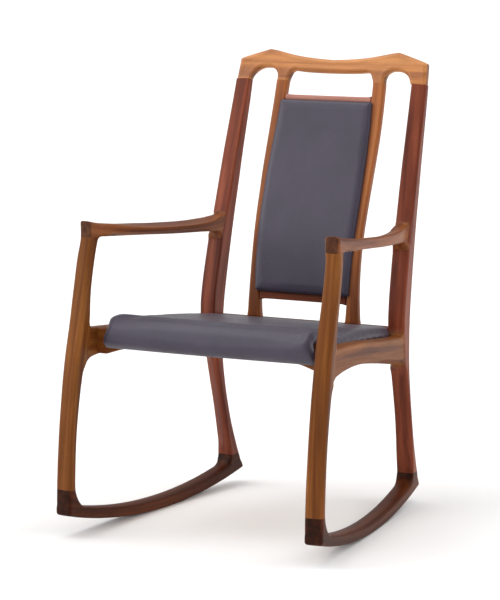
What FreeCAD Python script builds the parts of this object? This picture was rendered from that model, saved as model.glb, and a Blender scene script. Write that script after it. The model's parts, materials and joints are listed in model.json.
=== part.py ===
import FreeCAD, Part
import math
import os
import Sketcher

# Rocking chair in sculpted hardwood with an upholstered seat and back panel.
#
# Frame: millimetres, +Z up, the front of the chair towards -Y. The origin is on
# the floor, under the centre of the chair's box. "Right" is the +X side.
#
# Each side frame (rocker, legs, rail and arm) lies in one upright plane. The two
# planes converge towards the back by toe_in. Sections of a side frame are drawn
# in that plane: "along" runs back from the toe, "height" runs up from the floor,
# and width is measured inwards from the outer face. The right-hand pieces are
# drawn, and the left-hand ones are their mirror images.

doc = FreeCAD.newDocument("RockingChair")
sheet = doc.addObject("Spreadsheet::Sheet", "Sizes")
sheet_row = 0
values = {}


def size(alias, value):
    """One driving dimension: a row of the sheet with its alias."""
    global sheet_row
    sheet_row += 1
    sheet.set(f"A{sheet_row}", alias)
    sheet.set(f"B{sheet_row}", str(value))
    sheet.setAlias(f"B{sheet_row}", alias)
    values[alias] = value


def sizes(prefix, **named):
    """Several dimensions of one piece."""
    for name, value in named.items():
        size(f"{prefix}_{name}", value)


# Whole chair
sizes("chair", toe_half_width=311.7, toe_in=6.19, half_depth=361, recline=16.7, edge_round=4)

# Rockers: an arc of constant thickness, with a block under the front leg and a
# heel under the rear leg that ends in a pointed tip
sizes("rocker", radius=1362, lowest_along=355, thickness=25, width=39, joint_round=20)
sizes("block", front=-5, back=18, foot_back=26, top=104)
sizes("heel", front=619, foot_front=610, back=650, tip=671, top=72)

# Members that change section along their length. A station is
# (place, low, high, outer inset, width): for an upright member the place is a
# height and low..high runs along the frame; for a level one the place is along
# the frame and low..high is in height.
FRONT_LEG = {
    "foot": (104, -5, 18, 0, 39),
    "shin": (210, 3, 25, -1, 39),
    "calf": (300, 15, 41, -2, 39),
    "knee": (385, 30, 66, -2.5, 38),
    "seat": (445, 45, 80, -2.5, 37),
    "thigh": (540, 69, 96.5, -2, 35),
    "top": (633, 90, 122, 0, 32),
}
REAR_POST = {
    "foot": (72, 619, 650, 0, 38),
    "ankle": (130, 605, 629, 0, 37),
    "shin": (230, 582, 602, 0, 36),
    "knee": (320, 558, 587, 0, 37),
    "seat": (400, 545, 587, 0, 38.5),
    "lumbar": (480, 552, 597, 0, 39),
    "arm": (600, 584, 623, 0, 39),
    "chest": (700, 617, 650, 0, 39),
    "shoulder": (780, 642, 671, 0, 38),
    "head": (860, 670, 695, 0, 37),
    "neck": (910, 686, 709, 0, 36),
    "top": (960, 702, 722, 0, 35),
}
ARM = {
    "end": (89, 633, 668, 0.5, 31),
    "grip": (126, 632, 661, 0.5, 32),
    "front": (200, 627, 650, 0.5, 34),
    "middle": (332, 618, 638, 0.5, 37),
    "back": (473, 608, 628, 1, 37),
    "flare": (548, 599, 631, 3.5, 34),
    "root": (602, 576, 636, 4, 34),
}
SIDE_RAIL = {
    "front": (50, 372, 443, 1.5, 30),
    "arch_start": (120, 381, 438, 1.5, 30),
    "arch_top": (262, 378, 426, 1.5, 30),
    "arch_end": (422, 352, 406, 1.5, 30),
    "back": (578, 322, 390, 1.5, 30),
}

# The back panel follows one curve: height, place of its middle from the toe.
# A piece of it keeps its own end sections this far from the curve's stations.
BACK_CURVE = {
    "foot": (408, 558),
    "low": (480, 562),
    "waist": (590, 581),
    "chest": (711, 622),
    "high": (844, 673),
    "top": (945, 704),
}
size("curve_station_gap", 20)

# Seat frame: cross rails, with the board carried on corner blocks between them
sizes("front_rail", front=102, back=126, bottom=385, top=438, half_length=290, arch_rise=20,
      arch_half_span=245)
sizes("rear_rail", front=540, back=574, bottom=352, top=408, half_length=232)
sizes("seat", pitch=5.6, board_front=126.5, board_bottom=429, board_thickness=10,
      board_length=413, board_half_front=262, board_half_back=216)
sizes("corner_block", leg=48, depth=36, front_along=0.2, front_out=266, back_along=415,
      back_out=221)

# Back panel frame and the crest
sizes("stile", middle=120.5, width=29, depth=20)
sizes("board", half_width=105, thickness=8, bottom=474, top=886)
sizes("panel", top_rail_bottom=888, top_rail_height=13, bottom_rail_top=471,
      bottom_rail_height=19, rail_half_length=106)
sizes("crest", joint_height=932, joint_along=700, thickness=24, joint_half_width=235,
      corner_half_width=232, corner=48, peak=70.5, peak_at=159, shoulder=57.5, shoulder_at=207,
      saddle=59, saddle_at=95, middle=51, slot_inner=135, slot_outer=197.5, stile_inner=106,
      opening_top=20, opening_round=13)

# The space above the crest joint, where posts and stiles are cut off
sizes("headroom", length=1000, width=400, height=200)

# Upholstery
sizes("cushion", nose_half_width=247, nose_front=76, nose_bottom=395, nose_back=101,
      nose_top=467, nose_top_at=112, wide_at=130, half_width=264, back_half_width=220,
      back=534, back_height=408, top_back=416, top_back_at=520)
sizes("pad", half_width=117, bottom=473, top=887, thickness=10)

# Fastenings
sizes("dowel", radius=5, length=44, small_radius=3, small_length=28)
sizes("screw", radius=2, length=38, head_radius=4, head_height=3, bite=22, from_corner=30)
sizes("board_screw", from_side=18, from_end=14, tip_height=7)

# Where the dowels of a side frame are: (along, height)
ARM_DOWELS = {"front": (107, 633), "back": (586, 607)}
SIDE_DOWELS = {
    "front_upper": (76, 428),
    "front_lower": (69, 402),
    "back_upper": (547, 378),
    "back_lower": (552, 348),
}
# Dowels of the cross rails: (along, out from the middle, two heights)
CROSS_DOWELS = {"front": (114, 268, (403, 424)), "back": (557, 213, (368, 390))}
size("side_dowel_inwards", 17)

side_members = {"leg": FRONT_LEG, "post": REAR_POST, "arm": ARM, "rail": SIDE_RAIL}
for piece, stations in side_members.items():
    for station, (place, low, high, inset, width) in stations.items():
        sizes(f"{piece}_{station}", place=place, low=low, high=high, inset=inset, width=width)
for station, (height, along) in BACK_CURVE.items():
    sizes(f"curve_{station}", height=height, along=along)
doc.recompute()

TOE_IN = FreeCAD.Rotation(FreeCAD.Vector(0, 0, 1), values["chair_toe_in"])
TOE = FreeCAD.Vector(values["chair_toe_half_width"], -values["chair_half_depth"], 0)
SIDE_FRAME = FreeCAD.Placement(TOE, TOE_IN)
CENTRE = FreeCAD.Placement(FreeCAD.Vector(0, -values["chair_half_depth"], 0), FreeCAD.Rotation())


def tilted(along, height, degrees):
    """A placement on the centre line, leaning back by an angle."""
    base = FreeCAD.Vector(0, along - values["chair_half_depth"], height)
    return FreeCAD.Placement(base, FreeCAD.Rotation(FreeCAD.Vector(1, 0, 0), -degrees))


CREST_PLANE = tilted(values["crest_joint_along"], values["crest_joint_height"],
                     values["chair_recline"])
SEAT_PLANE = tilted(values["seat_board_front"], values["seat_board_bottom"], values["seat_pitch"])


# ---------------------------------------------------------------- modelling helpers

# Values smaller than this count as zero, and a zero coordinate needs no expression
TINY = 1e-6
ON_AXIS = (0.0, "")


def new_body(name, placement):
    body = doc.addObject("PartDesign::Body", name)
    body.Placement = placement
    return body


def new_sketch(body, name, role, offset=None):
    """A sketch on one of the body's origin planes, offset by an expression."""
    plane = [item for item in body.Origin.OriginFeatures if item.Role == role][0]
    sketch = body.newObject("Sketcher::SketchObject", name)
    sketch.AttachmentSupport = [(plane, "")]
    sketch.MapMode = "FlatFace"
    if offset:
        sketch.setExpression("AttachmentOffset.Base.z", offset)
    return sketch


def bind(sketch, kind, where, value, expression):
    """A dimension constraint driven by the sheet."""
    index = sketch.addConstraint(Sketcher.Constraint(kind, *where, value))
    sketch.setExpression(f"Constraints[{index}]", expression)


def ccw_arc(start, through, end):
    """The arc through three points, drawn anticlockwise as sketches keep it."""
    shape = Part.Arc(start, through, end).toShape()
    middle = shape.Curve.Center
    first, inside, last = (math.atan2(point.y - middle.y, point.x - middle.x)
                           for point in (start, through, end))
    turn = 2 * math.pi
    if (inside - first) % turn > (last - first) % turn:
        first, last = last, first
    circle = Part.Circle(middle, FreeCAD.Vector(0, 0, 1), shape.Curve.Radius)
    return Part.ArcOfCircle(circle, first, first + (last - first) % turn)


def outline(sketch, corners):
    """A closed chain. A corner is (x, x expression, y, y expression), and a fifth
    item, when present, is the top of the arc that leads to the next corner."""
    count = len(corners)
    for index, corner in enumerate(corners):
        start = FreeCAD.Vector(corner[0], corner[2], 0)
        following = corners[(index + 1) % count]
        end = FreeCAD.Vector(following[0], following[2], 0)
        if len(corner) > 4:
            through = FreeCAD.Vector(corner[4][0], corner[4][1], 0)
            sketch.addGeometry(ccw_arc(start, through, end), False)
        else:
            sketch.addGeometry(Part.LineSegment(start, end), False)
    starts = []
    for index, corner in enumerate(corners):
        first = sketch.Geometry[index].StartPoint
        forward = abs(first.x - corner[0]) + abs(first.y - corner[2]) < TINY
        starts.append((1, 2) if forward else (2, 1))
    for index, corner in enumerate(corners):
        following = (index + 1) % count
        sketch.addConstraint(Sketcher.Constraint("Coincident", index, starts[index][1],
                                                 following, starts[following][0]))
        for kind, value, expression in (("DistanceX", corner[0], corner[1]),
                                        ("DistanceY", corner[2], corner[3])):
            if abs(value) < TINY:
                axis = -2 if kind == "DistanceX" else -1
                sketch.addConstraint(Sketcher.Constraint("PointOnObject", index,
                                                         starts[index][0], axis))
            else:
                bind(sketch, kind, (-1, 1, index, starts[index][0]), value, expression)
        if len(corner) > 4:
            radius = sketch.Geometry[index].Radius
            sketch.addConstraint(Sketcher.Constraint("Radius", index, radius))


def at(alias, sign=1):
    """A coordinate and its expression, from one alias."""
    return sign * values[alias], f"{'-' if sign < 0 else ''}Sizes.{alias}"


def corner(x_alias, y_alias, x_sign=1, through=None):
    point = at(x_alias, x_sign) + at(y_alias)
    return point + (through,) if through else point


def rounded_section(sketch, left, right, low, high):
    """A rectangle with rounded corners; each side is (value, expression)."""
    radius = values["chair_edge_round"]
    x0, x1, y0, y1 = left[0], right[0], low[0], high[0]
    spots = [((x0, y0), (1, 1), math.pi), ((x1, y0), (-1, 1), 1.5 * math.pi),
             ((x1, y1), (-1, -1), 0.0), ((x0, y1), (1, -1), 0.5 * math.pi)]
    lines = [((x0 + radius, y0), (x1 - radius, y0)), ((x1, y0 + radius), (x1, y1 - radius)),
             ((x1 - radius, y1), (x0 + radius, y1)), ((x0, y1 - radius), (x0, y0 + radius))]
    for start, end in lines:
        sketch.addGeometry(Part.LineSegment(FreeCAD.Vector(*start, 0), FreeCAD.Vector(*end, 0)))
    for (x, y), (toward_x, toward_y), angle in spots:
        middle = FreeCAD.Vector(x + toward_x * radius, y + toward_y * radius, 0)
        circle = Part.Circle(middle, FreeCAD.Vector(0, 0, 1), radius)
        sketch.addGeometry(Part.ArcOfCircle(circle, angle, angle + 0.5 * math.pi))
    for line in range(4):
        sketch.addConstraint(Sketcher.Constraint("Tangent", 4 + line, 2, line, 1))
        sketch.addConstraint(Sketcher.Constraint("Tangent", line, 2, 4 + (line + 1) % 4, 1))
        level = "Horizontal" if line % 2 == 0 else "Vertical"
        sketch.addConstraint(Sketcher.Constraint(level, line))
    for arc in (5, 6, 7):
        sketch.addConstraint(Sketcher.Constraint("Equal", 4, arc))
    bind(sketch, "Radius", (4,), radius, "Sizes.chair_edge_round")
    for kind, line, side in (("DistanceY", 0, low), ("DistanceX", 1, right),
                             ("DistanceY", 2, high), ("DistanceX", 3, left)):
        if abs(side[0]) < TINY:
            axis = -1 if kind == "DistanceY" else -2
            sketch.addConstraint(Sketcher.Constraint("PointOnObject", line, 1, axis))
        else:
            bind(sketch, kind, (-1, 1, line, 1), *side)


def loft(body, sketches):
    feature = body.newObject("PartDesign::AdditiveLoft", f"{body.Name}_loft")
    feature.Profile = sketches[0]
    feature.Sections = sketches[1:]
    doc.recompute()
    return body


def side_member(name, stations, upright):
    """A member of the right side frame, lofted through its stations."""
    body = new_body(name, SIDE_FRAME)
    sketches = []
    for station in stations:
        key = f"{name}_{station}"
        outer = (-values[f"{key}_inset"], f"-Sizes.{key}_inset")
        inner = (-values[f"{key}_inset"] - values[f"{key}_width"],
                 f"-Sizes.{key}_inset - Sizes.{key}_width")
        role = "XY_Plane" if upright else "XZ_Plane"
        sign = "" if upright else "-"
        sketch = new_sketch(body, f"{key}_section", role, f"{sign}Sizes.{key}_place")
        rounded_section(sketch, inner, outer, at(f"{key}_low"), at(f"{key}_high"))
        sketches.append(sketch)
    return loft(body, sketches)


def pad(body, sketch, expression, symmetric=True):
    feature = body.newObject("PartDesign::Pad", f"{body.Name}_pad")
    feature.Profile = sketch
    feature.Midplane = symmetric
    feature.setExpression("Length", expression)
    doc.recompute()
    return feature


def edges_at(shape, spots):
    """Names of the edges that run across a side frame at the (along, height) spots."""
    names = []
    for index, edge in enumerate(shape.Edges, start=1):
        middle = edge.CenterOfMass
        if abs(edge.tangentAt(edge.FirstParameter).x) < 1 - TINY:
            continue
        for spot in spots:
            if math.hypot(middle.y - spot.x, middle.z - spot.y) < TINY:
                names.append(f"Edge{index}")
    return names


def fillet(body, base, edge_names, expression):
    feature = body.newObject("PartDesign::Fillet", f"{body.Name}_round")
    feature.Base = (base, edge_names)
    feature.setExpression("Radius", expression)
    doc.recompute()
    return feature


def mirrored(piece, label):
    """The left-hand twin of a right-hand piece."""
    twin = doc.addObject("Part::Mirroring", label)
    twin.Source = piece
    twin.Normal = FreeCAD.Vector(1, 0, 0)
    return twin


def group(name, members):
    compound = doc.addObject("Part::Compound", name)
    compound.Links = members
    return compound


def cut(name, base, tools):
    """A piece with every tool removed from it."""
    result = base
    for index, tool in enumerate(tools):
        step = doc.addObject("Part::Cut", name if tool is tools[-1] else f"{name}_cut{index}")
        step.Base = result
        step.Tool = tool
        result = step
    doc.recompute()
    return result


def in_frame(along, inwards, height):
    """A point of the right side frame in the chair's frame."""
    return SIDE_FRAME.multVec(FreeCAD.Vector(-inwards, along, height))


def peg(name, middle, direction, small=False):
    """A dowel centred on a point."""
    kind = "small_" if small else ""
    dowel = doc.addObject("Part::Cylinder", name)
    dowel.setExpression("Radius", f"Sizes.dowel_{kind}radius")
    dowel.setExpression("Height", f"Sizes.dowel_{kind}length")
    axis = FreeCAD.Vector(direction).normalize()
    start = middle - axis * (0.5 * values[f"dowel_{kind}length"])
    dowel.Placement = FreeCAD.Placement(start, FreeCAD.Rotation(FreeCAD.Vector(0, 0, 1), axis))
    return dowel


# ---------------------------------------------------------------- side frames

def make_rocker():
    """Two concentric arcs joined by the front block and the heel, in one outline."""
    body = new_body("rocker", SIDE_FRAME)
    sketch = new_sketch(body, "rocker_outline", "YZ_Plane")
    radius, centre = values["rocker_radius"], values["rocker_lowest_along"]
    inner_radius = radius - values["rocker_thickness"]

    def on_arc(along, arc_radius):
        return FreeCAD.Vector(along, radius - math.sqrt(arc_radius**2 - (along - centre)**2), 0)

    toe = on_arc(values["block_front"], radius)
    tip = on_arc(values["heel_tip"], radius)
    instep = on_arc(values["block_foot_back"], inner_radius)
    arch_end = on_arc(values["heel_foot_front"], inner_radius)
    heel_back = FreeCAD.Vector(values["heel_back"], values["heel_top"], 0)
    heel_front = FreeCAD.Vector(values["heel_front"], values["heel_top"], 0)
    block_back = FreeCAD.Vector(values["block_back"], values["block_top"], 0)
    block_front = FreeCAD.Vector(values["block_front"], values["block_top"], 0)
    sketch.addGeometry(Part.Arc(toe, on_arc(centre, radius), tip))
    sketch.addGeometry(Part.LineSegment(tip, heel_back))
    sketch.addGeometry(Part.LineSegment(heel_back, heel_front))
    sketch.addGeometry(Part.LineSegment(heel_front, arch_end))
    sketch.addGeometry(Part.Arc(instep, on_arc(centre, inner_radius), arch_end))
    sketch.addGeometry(Part.LineSegment(instep, block_back))
    sketch.addGeometry(Part.LineSegment(block_back, block_front))
    sketch.addGeometry(Part.LineSegment(block_front, toe))
    chain = [(0, 2, 1, 1), (1, 2, 2, 1), (2, 2, 3, 1), (3, 2, 4, 2), (4, 1, 5, 1),
             (5, 2, 6, 1), (6, 2, 7, 1), (7, 2, 0, 1)]
    for joint in chain:
        sketch.addConstraint(Sketcher.Constraint("Coincident", *joint))
    sketch.addConstraint(Sketcher.Constraint("Coincident", 0, 3, 4, 3))
    bind(sketch, "Radius", (0,), radius, "Sizes.rocker_radius")
    bind(sketch, "Radius", (4,), inner_radius, "Sizes.rocker_radius - Sizes.rocker_thickness")
    bind(sketch, "DistanceX", (-1, 1, 0, 3), centre, "Sizes.rocker_lowest_along")
    bind(sketch, "DistanceY", (-1, 1, 0, 3), radius, "Sizes.rocker_radius")
    places = [(0, 1, "block_front", None), (0, 2, "heel_tip", None),
              (1, 2, "heel_back", "heel_top"), (3, 1, "heel_front", "heel_top"),
              (4, 2, "heel_foot_front", None), (4, 1, "block_foot_back", None),
              (5, 2, "block_back", "block_top"), (7, 1, "block_front", "block_top")]
    for geometry, end, x_alias, y_alias in places:
        bind(sketch, "DistanceX", (-1, 1, geometry, end), *at(x_alias))
        if y_alias:
            bind(sketch, "DistanceY", (-1, 1, geometry, end), *at(y_alias))
    solid = pad(body, sketch, "Sizes.rocker_width", symmetric=False)
    solid.Reversed = True
    doc.recompute()
    concave = edges_at(solid.Shape, [arch_end, instep])
    fillet(body, solid, concave, "Sizes.rocker_joint_round")
    return body


# ---------------------------------------------------------------- seat frame

def make_front_rail():
    """A cross rail between the side rails, arched underneath."""
    body = new_body("front_rail", CENTRE)
    sketch = new_sketch(body, "front_rail_outline", "XZ_Plane", "-Sizes.front_rail_back")
    crown = (0, values["front_rail_bottom"] + values["front_rail_arch_rise"])
    outline(sketch, [
        corner("front_rail_half_length", "front_rail_bottom"),
        corner("front_rail_half_length", "front_rail_top"),
        corner("front_rail_half_length", "front_rail_top", -1),
        corner("front_rail_half_length", "front_rail_bottom", -1),
        corner("front_rail_arch_half_span", "front_rail_bottom", -1, through=crown),
        corner("front_rail_arch_half_span", "front_rail_bottom"),
    ])
    pad(body, sketch, "Sizes.front_rail_back - Sizes.front_rail_front", symmetric=False)
    return body


def make_box(name, placement, length, width, height, corner_place):
    """A plain rectangular piece; its three sizes and its corner are expressions."""
    box = doc.addObject("Part::Box", name)
    box.setExpression("Length", length)
    box.setExpression("Width", width)
    box.setExpression("Height", height)
    doc.recompute()
    start = FreeCAD.Placement(FreeCAD.Vector(*corner_place), FreeCAD.Rotation())
    box.Placement = placement * start
    return box


def make_seat_board():
    """A tapered board that leans back between the side rails."""
    body = new_body("seat_panel", SEAT_PLANE)
    sketch = new_sketch(body, "seat_panel_outline", "XY_Plane")
    outline(sketch, [
        at("seat_board_half_front", -1) + ON_AXIS,
        at("seat_board_half_front") + ON_AXIS,
        corner("seat_board_half_back", "seat_board_length"),
        corner("seat_board_half_back", "seat_board_length", -1),
    ])
    pad(body, sketch, "Sizes.seat_board_thickness", symmetric=False)
    return body


def make_corner_block(end, inward):
    """A triangular block glued into a corner of the seat frame.

    The end is front or back, and inward is the way along to the seat's middle."""
    name = f"{end}_block"
    body = new_body(name, SEAT_PLANE)
    sketch = new_sketch(body, f"{name}_outline", "XY_Plane", "-Sizes.corner_block_depth")
    along = values[f"corner_block_{end}_along"]
    out = values[f"corner_block_{end}_out"]
    leg = values["corner_block_leg"]
    step = inward * leg
    slant = -step * math.sin(math.radians(values["chair_toe_in"]))
    spots = [(out, along), (out - leg, along), (out + slant, along + step)]
    for index, start in enumerate(spots):
        end = spots[(index + 1) % 3]
        sketch.addGeometry(Part.LineSegment(FreeCAD.Vector(*start, 0), FreeCAD.Vector(*end, 0)))
    for index in range(3):
        sketch.addConstraint(Sketcher.Constraint("Coincident", index, 2, (index + 1) % 3, 1))
    pad(body, sketch, "Sizes.corner_block_depth", symmetric=False)
    return body


# ---------------------------------------------------------------- back

def back_member(name, half_width, middle, thickness, front_offset, low, high):
    """A piece that follows the back curve between two heights.

    The section is half_width either side of middle, and thickness deep, starting
    front_offset behind the curve."""
    body = new_body(name, CENTRE)
    sketches = []
    gap = values["curve_station_gap"]
    inside = [height for height, _ in BACK_CURVE.values() if low + gap < height < high - gap]
    for index, height in enumerate([low] + inside + [high]):
        sketch = new_sketch(body, f"{name}_section{index}", "XY_Plane")
        sketch.AttachmentOffset = FreeCAD.Placement(FreeCAD.Vector(0, 0, height),
                                                    FreeCAD.Rotation())
        front = back_place(height) + front_offset
        spots = [(middle - half_width, front), (middle + half_width, front),
                 (middle + half_width, front + thickness), (middle - half_width, front + thickness)]
        for line, start in enumerate(spots):
            end = spots[(line + 1) % 4]
            sketch.addGeometry(Part.LineSegment(FreeCAD.Vector(*start, 0),
                                                FreeCAD.Vector(*end, 0)))
        for line in range(4):
            sketch.addConstraint(Sketcher.Constraint("Coincident", line, 2, (line + 1) % 4, 1))
            level = "Horizontal" if line % 2 == 0 else "Vertical"
            sketch.addConstraint(Sketcher.Constraint(level, line))
        sketches.append(sketch)
    return loft(body, sketches)


def back_place(height):
    """Where the middle of the back panel is at a height, along a smooth curve."""
    stations = list(BACK_CURVE.values())
    curve = Part.BSplineCurve()
    curve.interpolate([FreeCAD.Vector(along, level, 0) for level, along in stations])
    plane = Part.Line(FreeCAD.Vector(0, height, 0), FreeCAD.Vector(1, height, 0))
    return curve.intersect(plane)[0].X


def make_crest():
    """The top rail: a saddle-shaped bar with four stubs that run down to the
    posts and the stiles, cut from one board."""
    body = new_body("crest", CREST_PLANE)
    sketch = new_sketch(body, "crest_outline", "XZ_Plane")
    outer_corner = (values["crest_corner_half_width"], values["crest_corner"])
    foot = values["crest_joint_half_width"]
    slot_outer = values["crest_slot_outer"]
    slot_inner = values["crest_slot_inner"]
    slot_middle = 0.5 * (slot_outer + slot_inner)
    slot_top = 0.5 * (slot_outer - slot_inner)
    inner = values["crest_stile_inner"]
    ceiling = values["crest_opening_top"]
    bend = values["crest_opening_round"]
    slant = bend * math.sqrt(0.5)
    top = [outer_corner, (values["crest_shoulder_at"], values["crest_shoulder"]),
           (values["crest_peak_at"], values["crest_peak"]),
           (values["crest_saddle_at"], values["crest_saddle"]), (0, values["crest_middle"])]
    top += [(-x, z) for x, z in reversed(top[:-1])]
    crown = Part.BSplineCurve()
    crown.interpolate([FreeCAD.Vector(x, z, 0) for x, z in top])

    def line(start, end):
        return Part.LineSegment(FreeCAD.Vector(*start, 0), FreeCAD.Vector(*end, 0))

    def arc(start, through, end):
        return Part.Arc(*(FreeCAD.Vector(*point, 0) for point in (start, through, end)))

    def half_of(sign):
        def place(x, z):
            return sign * x, z
        return [line(place(*outer_corner), place(foot, 0)),
                line(place(foot, 0), place(slot_outer, 0)),
                arc(place(slot_outer, 0), place(slot_middle, slot_top), place(slot_inner, 0)),
                line(place(slot_inner, 0), place(inner, 0)),
                line(place(inner, 0), place(inner, ceiling - bend)),
                arc(place(inner, ceiling - bend),
                    place(inner - bend + slant, ceiling - bend + slant),
                    place(inner - bend, ceiling))]

    for piece in half_of(1) + [line((inner - bend, ceiling), (bend - inner, ceiling))]:
        sketch.addGeometry(piece)
    for piece in reversed(half_of(-1)):
        sketch.addGeometry(piece)
    sketch.addGeometry(crown)
    for index in range(len(sketch.Geometry)):
        sketch.addConstraint(Sketcher.Constraint("Block", index))
    pad(body, sketch, "Sizes.crest_thickness")
    return body


# ---------------------------------------------------------------- upholstery

def make_seat_cushion():
    """A side profile with a rolled nose over the front rail, trimmed to the
    tapered plan of the seat."""
    profile = new_body("cushion_profile", CENTRE)
    sketch = new_sketch(profile, "cushion_profile_outline", "YZ_Plane")
    pitch = math.radians(values["seat_pitch"])
    board_front = values["seat_board_front"]
    board_top = values["seat_board_bottom"] + values["seat_board_thickness"] / math.cos(pitch)
    nose_back = values["cushion_nose_back"]
    nose_bottom = values["cushion_nose_bottom"]
    nose_middle = 0.5 * (nose_bottom + values["cushion_nose_top"])
    back = values["cushion_back"]
    spots = [(nose_back, nose_bottom),
             (nose_back, board_top),
             (board_front, board_top),
             (back, board_top - (back - board_front) * math.tan(pitch)),
             (back, values["cushion_back_height"]),
             (values["cushion_top_back_at"], values["cushion_top_back"]),
             (values["cushion_nose_top_at"], values["cushion_nose_top"])]
    for start, end in zip(spots, spots[1:]):
        sketch.addGeometry(Part.LineSegment(FreeCAD.Vector(*start, 0), FreeCAD.Vector(*end, 0)))
    nose = Part.Arc(FreeCAD.Vector(*spots[-1], 0),
                    FreeCAD.Vector(values["cushion_nose_front"], nose_middle, 0),
                    FreeCAD.Vector(*spots[0], 0))
    sketch.addGeometry(nose)
    for index in range(len(sketch.Geometry)):
        sketch.addConstraint(Sketcher.Constraint("Block", index))
    pad(profile, sketch, "2 * Sizes.cushion_half_width")

    plan = new_body("cushion_plan", CENTRE)
    sketch = new_sketch(plan, "cushion_plan_outline", "XY_Plane")
    outline(sketch, [
        at("cushion_nose_half_width", -1) + ON_AXIS,
        at("cushion_nose_half_width") + ON_AXIS,
        corner("cushion_nose_half_width", "cushion_nose_back"),
        corner("cushion_half_width", "cushion_wide_at"),
        corner("cushion_back_half_width", "cushion_back"),
        corner("cushion_back_half_width", "cushion_back", -1),
        corner("cushion_half_width", "cushion_wide_at", -1),
        corner("cushion_nose_half_width", "cushion_nose_back", -1),
    ])
    pad(plan, sketch, "Sizes.crest_joint_height", symmetric=False)
    cushion = doc.addObject("Part::Common", "seat_cushion")
    cushion.Base = profile
    cushion.Tool = plan
    doc.recompute()
    return cushion


# ---------------------------------------------------------------- fastenings

def make_screw(name, tip, axis):
    """A countersunk wood screw: a shank fused to a conical head."""
    shank = doc.addObject("Part::Cylinder", f"{name}_shank")
    shank.setExpression("Radius", "Sizes.screw_radius")
    shank.setExpression("Height", "Sizes.screw_length")
    head = doc.addObject("Part::Cone", f"{name}_head")
    head.setExpression("Radius1", "Sizes.screw_head_radius")
    head.setExpression("Radius2", "Sizes.screw_radius")
    head.setExpression("Height", "Sizes.screw_head_height")
    turn = FreeCAD.Rotation(FreeCAD.Vector(0, 0, 1), axis)
    start = tip - FreeCAD.Vector(axis).normalize() * values["screw_length"]
    for piece in (shank, head):
        piece.Placement = FreeCAD.Placement(start, turn)
    screw = doc.addObject("Part::Fuse", name)
    screw.Base = shank
    screw.Tool = head
    return screw


# ---------------------------------------------------------------- assembly

UP = FreeCAD.Vector(0, 0, 1)
ALONG = TOE_IN.multVec(FreeCAD.Vector(0, 1, 0))
ACROSS = FreeCAD.Vector(1, 0, 0)
CREST_UP = CREST_PLANE.Rotation.multVec(UP)
SEAT_TURN = SEAT_PLANE.Rotation
SEAT_UP = SEAT_TURN.multVec(UP)

rocker = make_rocker()
front_leg = side_member("leg", FRONT_LEG, upright=True)
rear_post = side_member("post", REAR_POST, upright=True)
arm = side_member("arm", ARM, upright=False)
side_rail = side_member("rail", SIDE_RAIL, upright=False)
front_rail = make_front_rail()
seat_panel = make_seat_board()
crest = make_crest()
stile_blank = back_member("stile_blank", 0.5 * values["stile_width"], values["stile_middle"],
                          values["stile_depth"], -0.5 * values["stile_depth"],
                          values["rear_rail_top"], values["curve_top_height"])

# Everything above this plane belongs to the crest rail
above = make_box("above_crest_joint", CREST_PLANE, "Sizes.headroom_length", "Sizes.headroom_width",
                 "Sizes.headroom_height",
                 (-0.5 * values["headroom_length"], -0.5 * values["headroom_width"], 0))

# Dowels of the right half
block_middle = 0.5 * (values["block_front"] + values["block_back"])
heel_middle = 0.5 * (values["heel_front"] + values["heel_back"])
half_rocker = 0.5 * values["rocker_width"]
rocker_dowels = [peg("toe_dowel", in_frame(block_middle, half_rocker, values["block_top"]), UP),
                 peg("heel_dowel", in_frame(heel_middle, half_rocker, values["heel_top"]), UP)]
inwards = values["side_dowel_inwards"]
arm_dowels = []
for name, (along, height) in ARM_DOWELS.items():
    axis = UP if name == "front" else ALONG
    arm_dowels.append(peg(f"arm_{name}_dowel", in_frame(along, inwards, height), axis))
rail_dowels = []
for name, (along, height) in SIDE_DOWELS.items():
    rail_dowels.append(peg(f"side_dowel_{name}", in_frame(along, inwards, height), ALONG))
for name, (along, out, heights) in CROSS_DOWELS.items():
    for height in heights:
        middle = CENTRE.multVec(FreeCAD.Vector(out, along, height))
        rail_dowels.append(peg(f"cross_dowel_{name}_{height}", middle, ACROSS))
crest_dowels = []
post_head = 0.5 * (values["crest_joint_half_width"] + values["crest_slot_outer"])
for name, out in {"post": post_head, "stile": values["stile_middle"]}.items():
    middle = CREST_PLANE.multVec(FreeCAD.Vector(out, 0, 0))
    crest_dowels.append(peg(f"{name}_head_dowel", middle, CREST_UP))
stile_foot = CENTRE.multVec(FreeCAD.Vector(values["stile_middle"], values["curve_foot_along"],
                                           values["rear_rail_top"]))
back_dowels = [peg("stile_foot_dowel", stile_foot, UP)]
panel_rail_heights = {
    "upper": values["panel_top_rail_bottom"] + 0.5 * values["panel_top_rail_height"],
    "lower": values["panel_bottom_rail_top"] - 0.5 * values["panel_bottom_rail_height"],
}
for name, height in panel_rail_heights.items():
    middle = CENTRE.multVec(FreeCAD.Vector(values["panel_rail_half_length"],
                                           back_place(height), height))
    back_dowels.append(peg(f"panel_dowel_{name}", middle, ACROSS, small=True))

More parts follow.
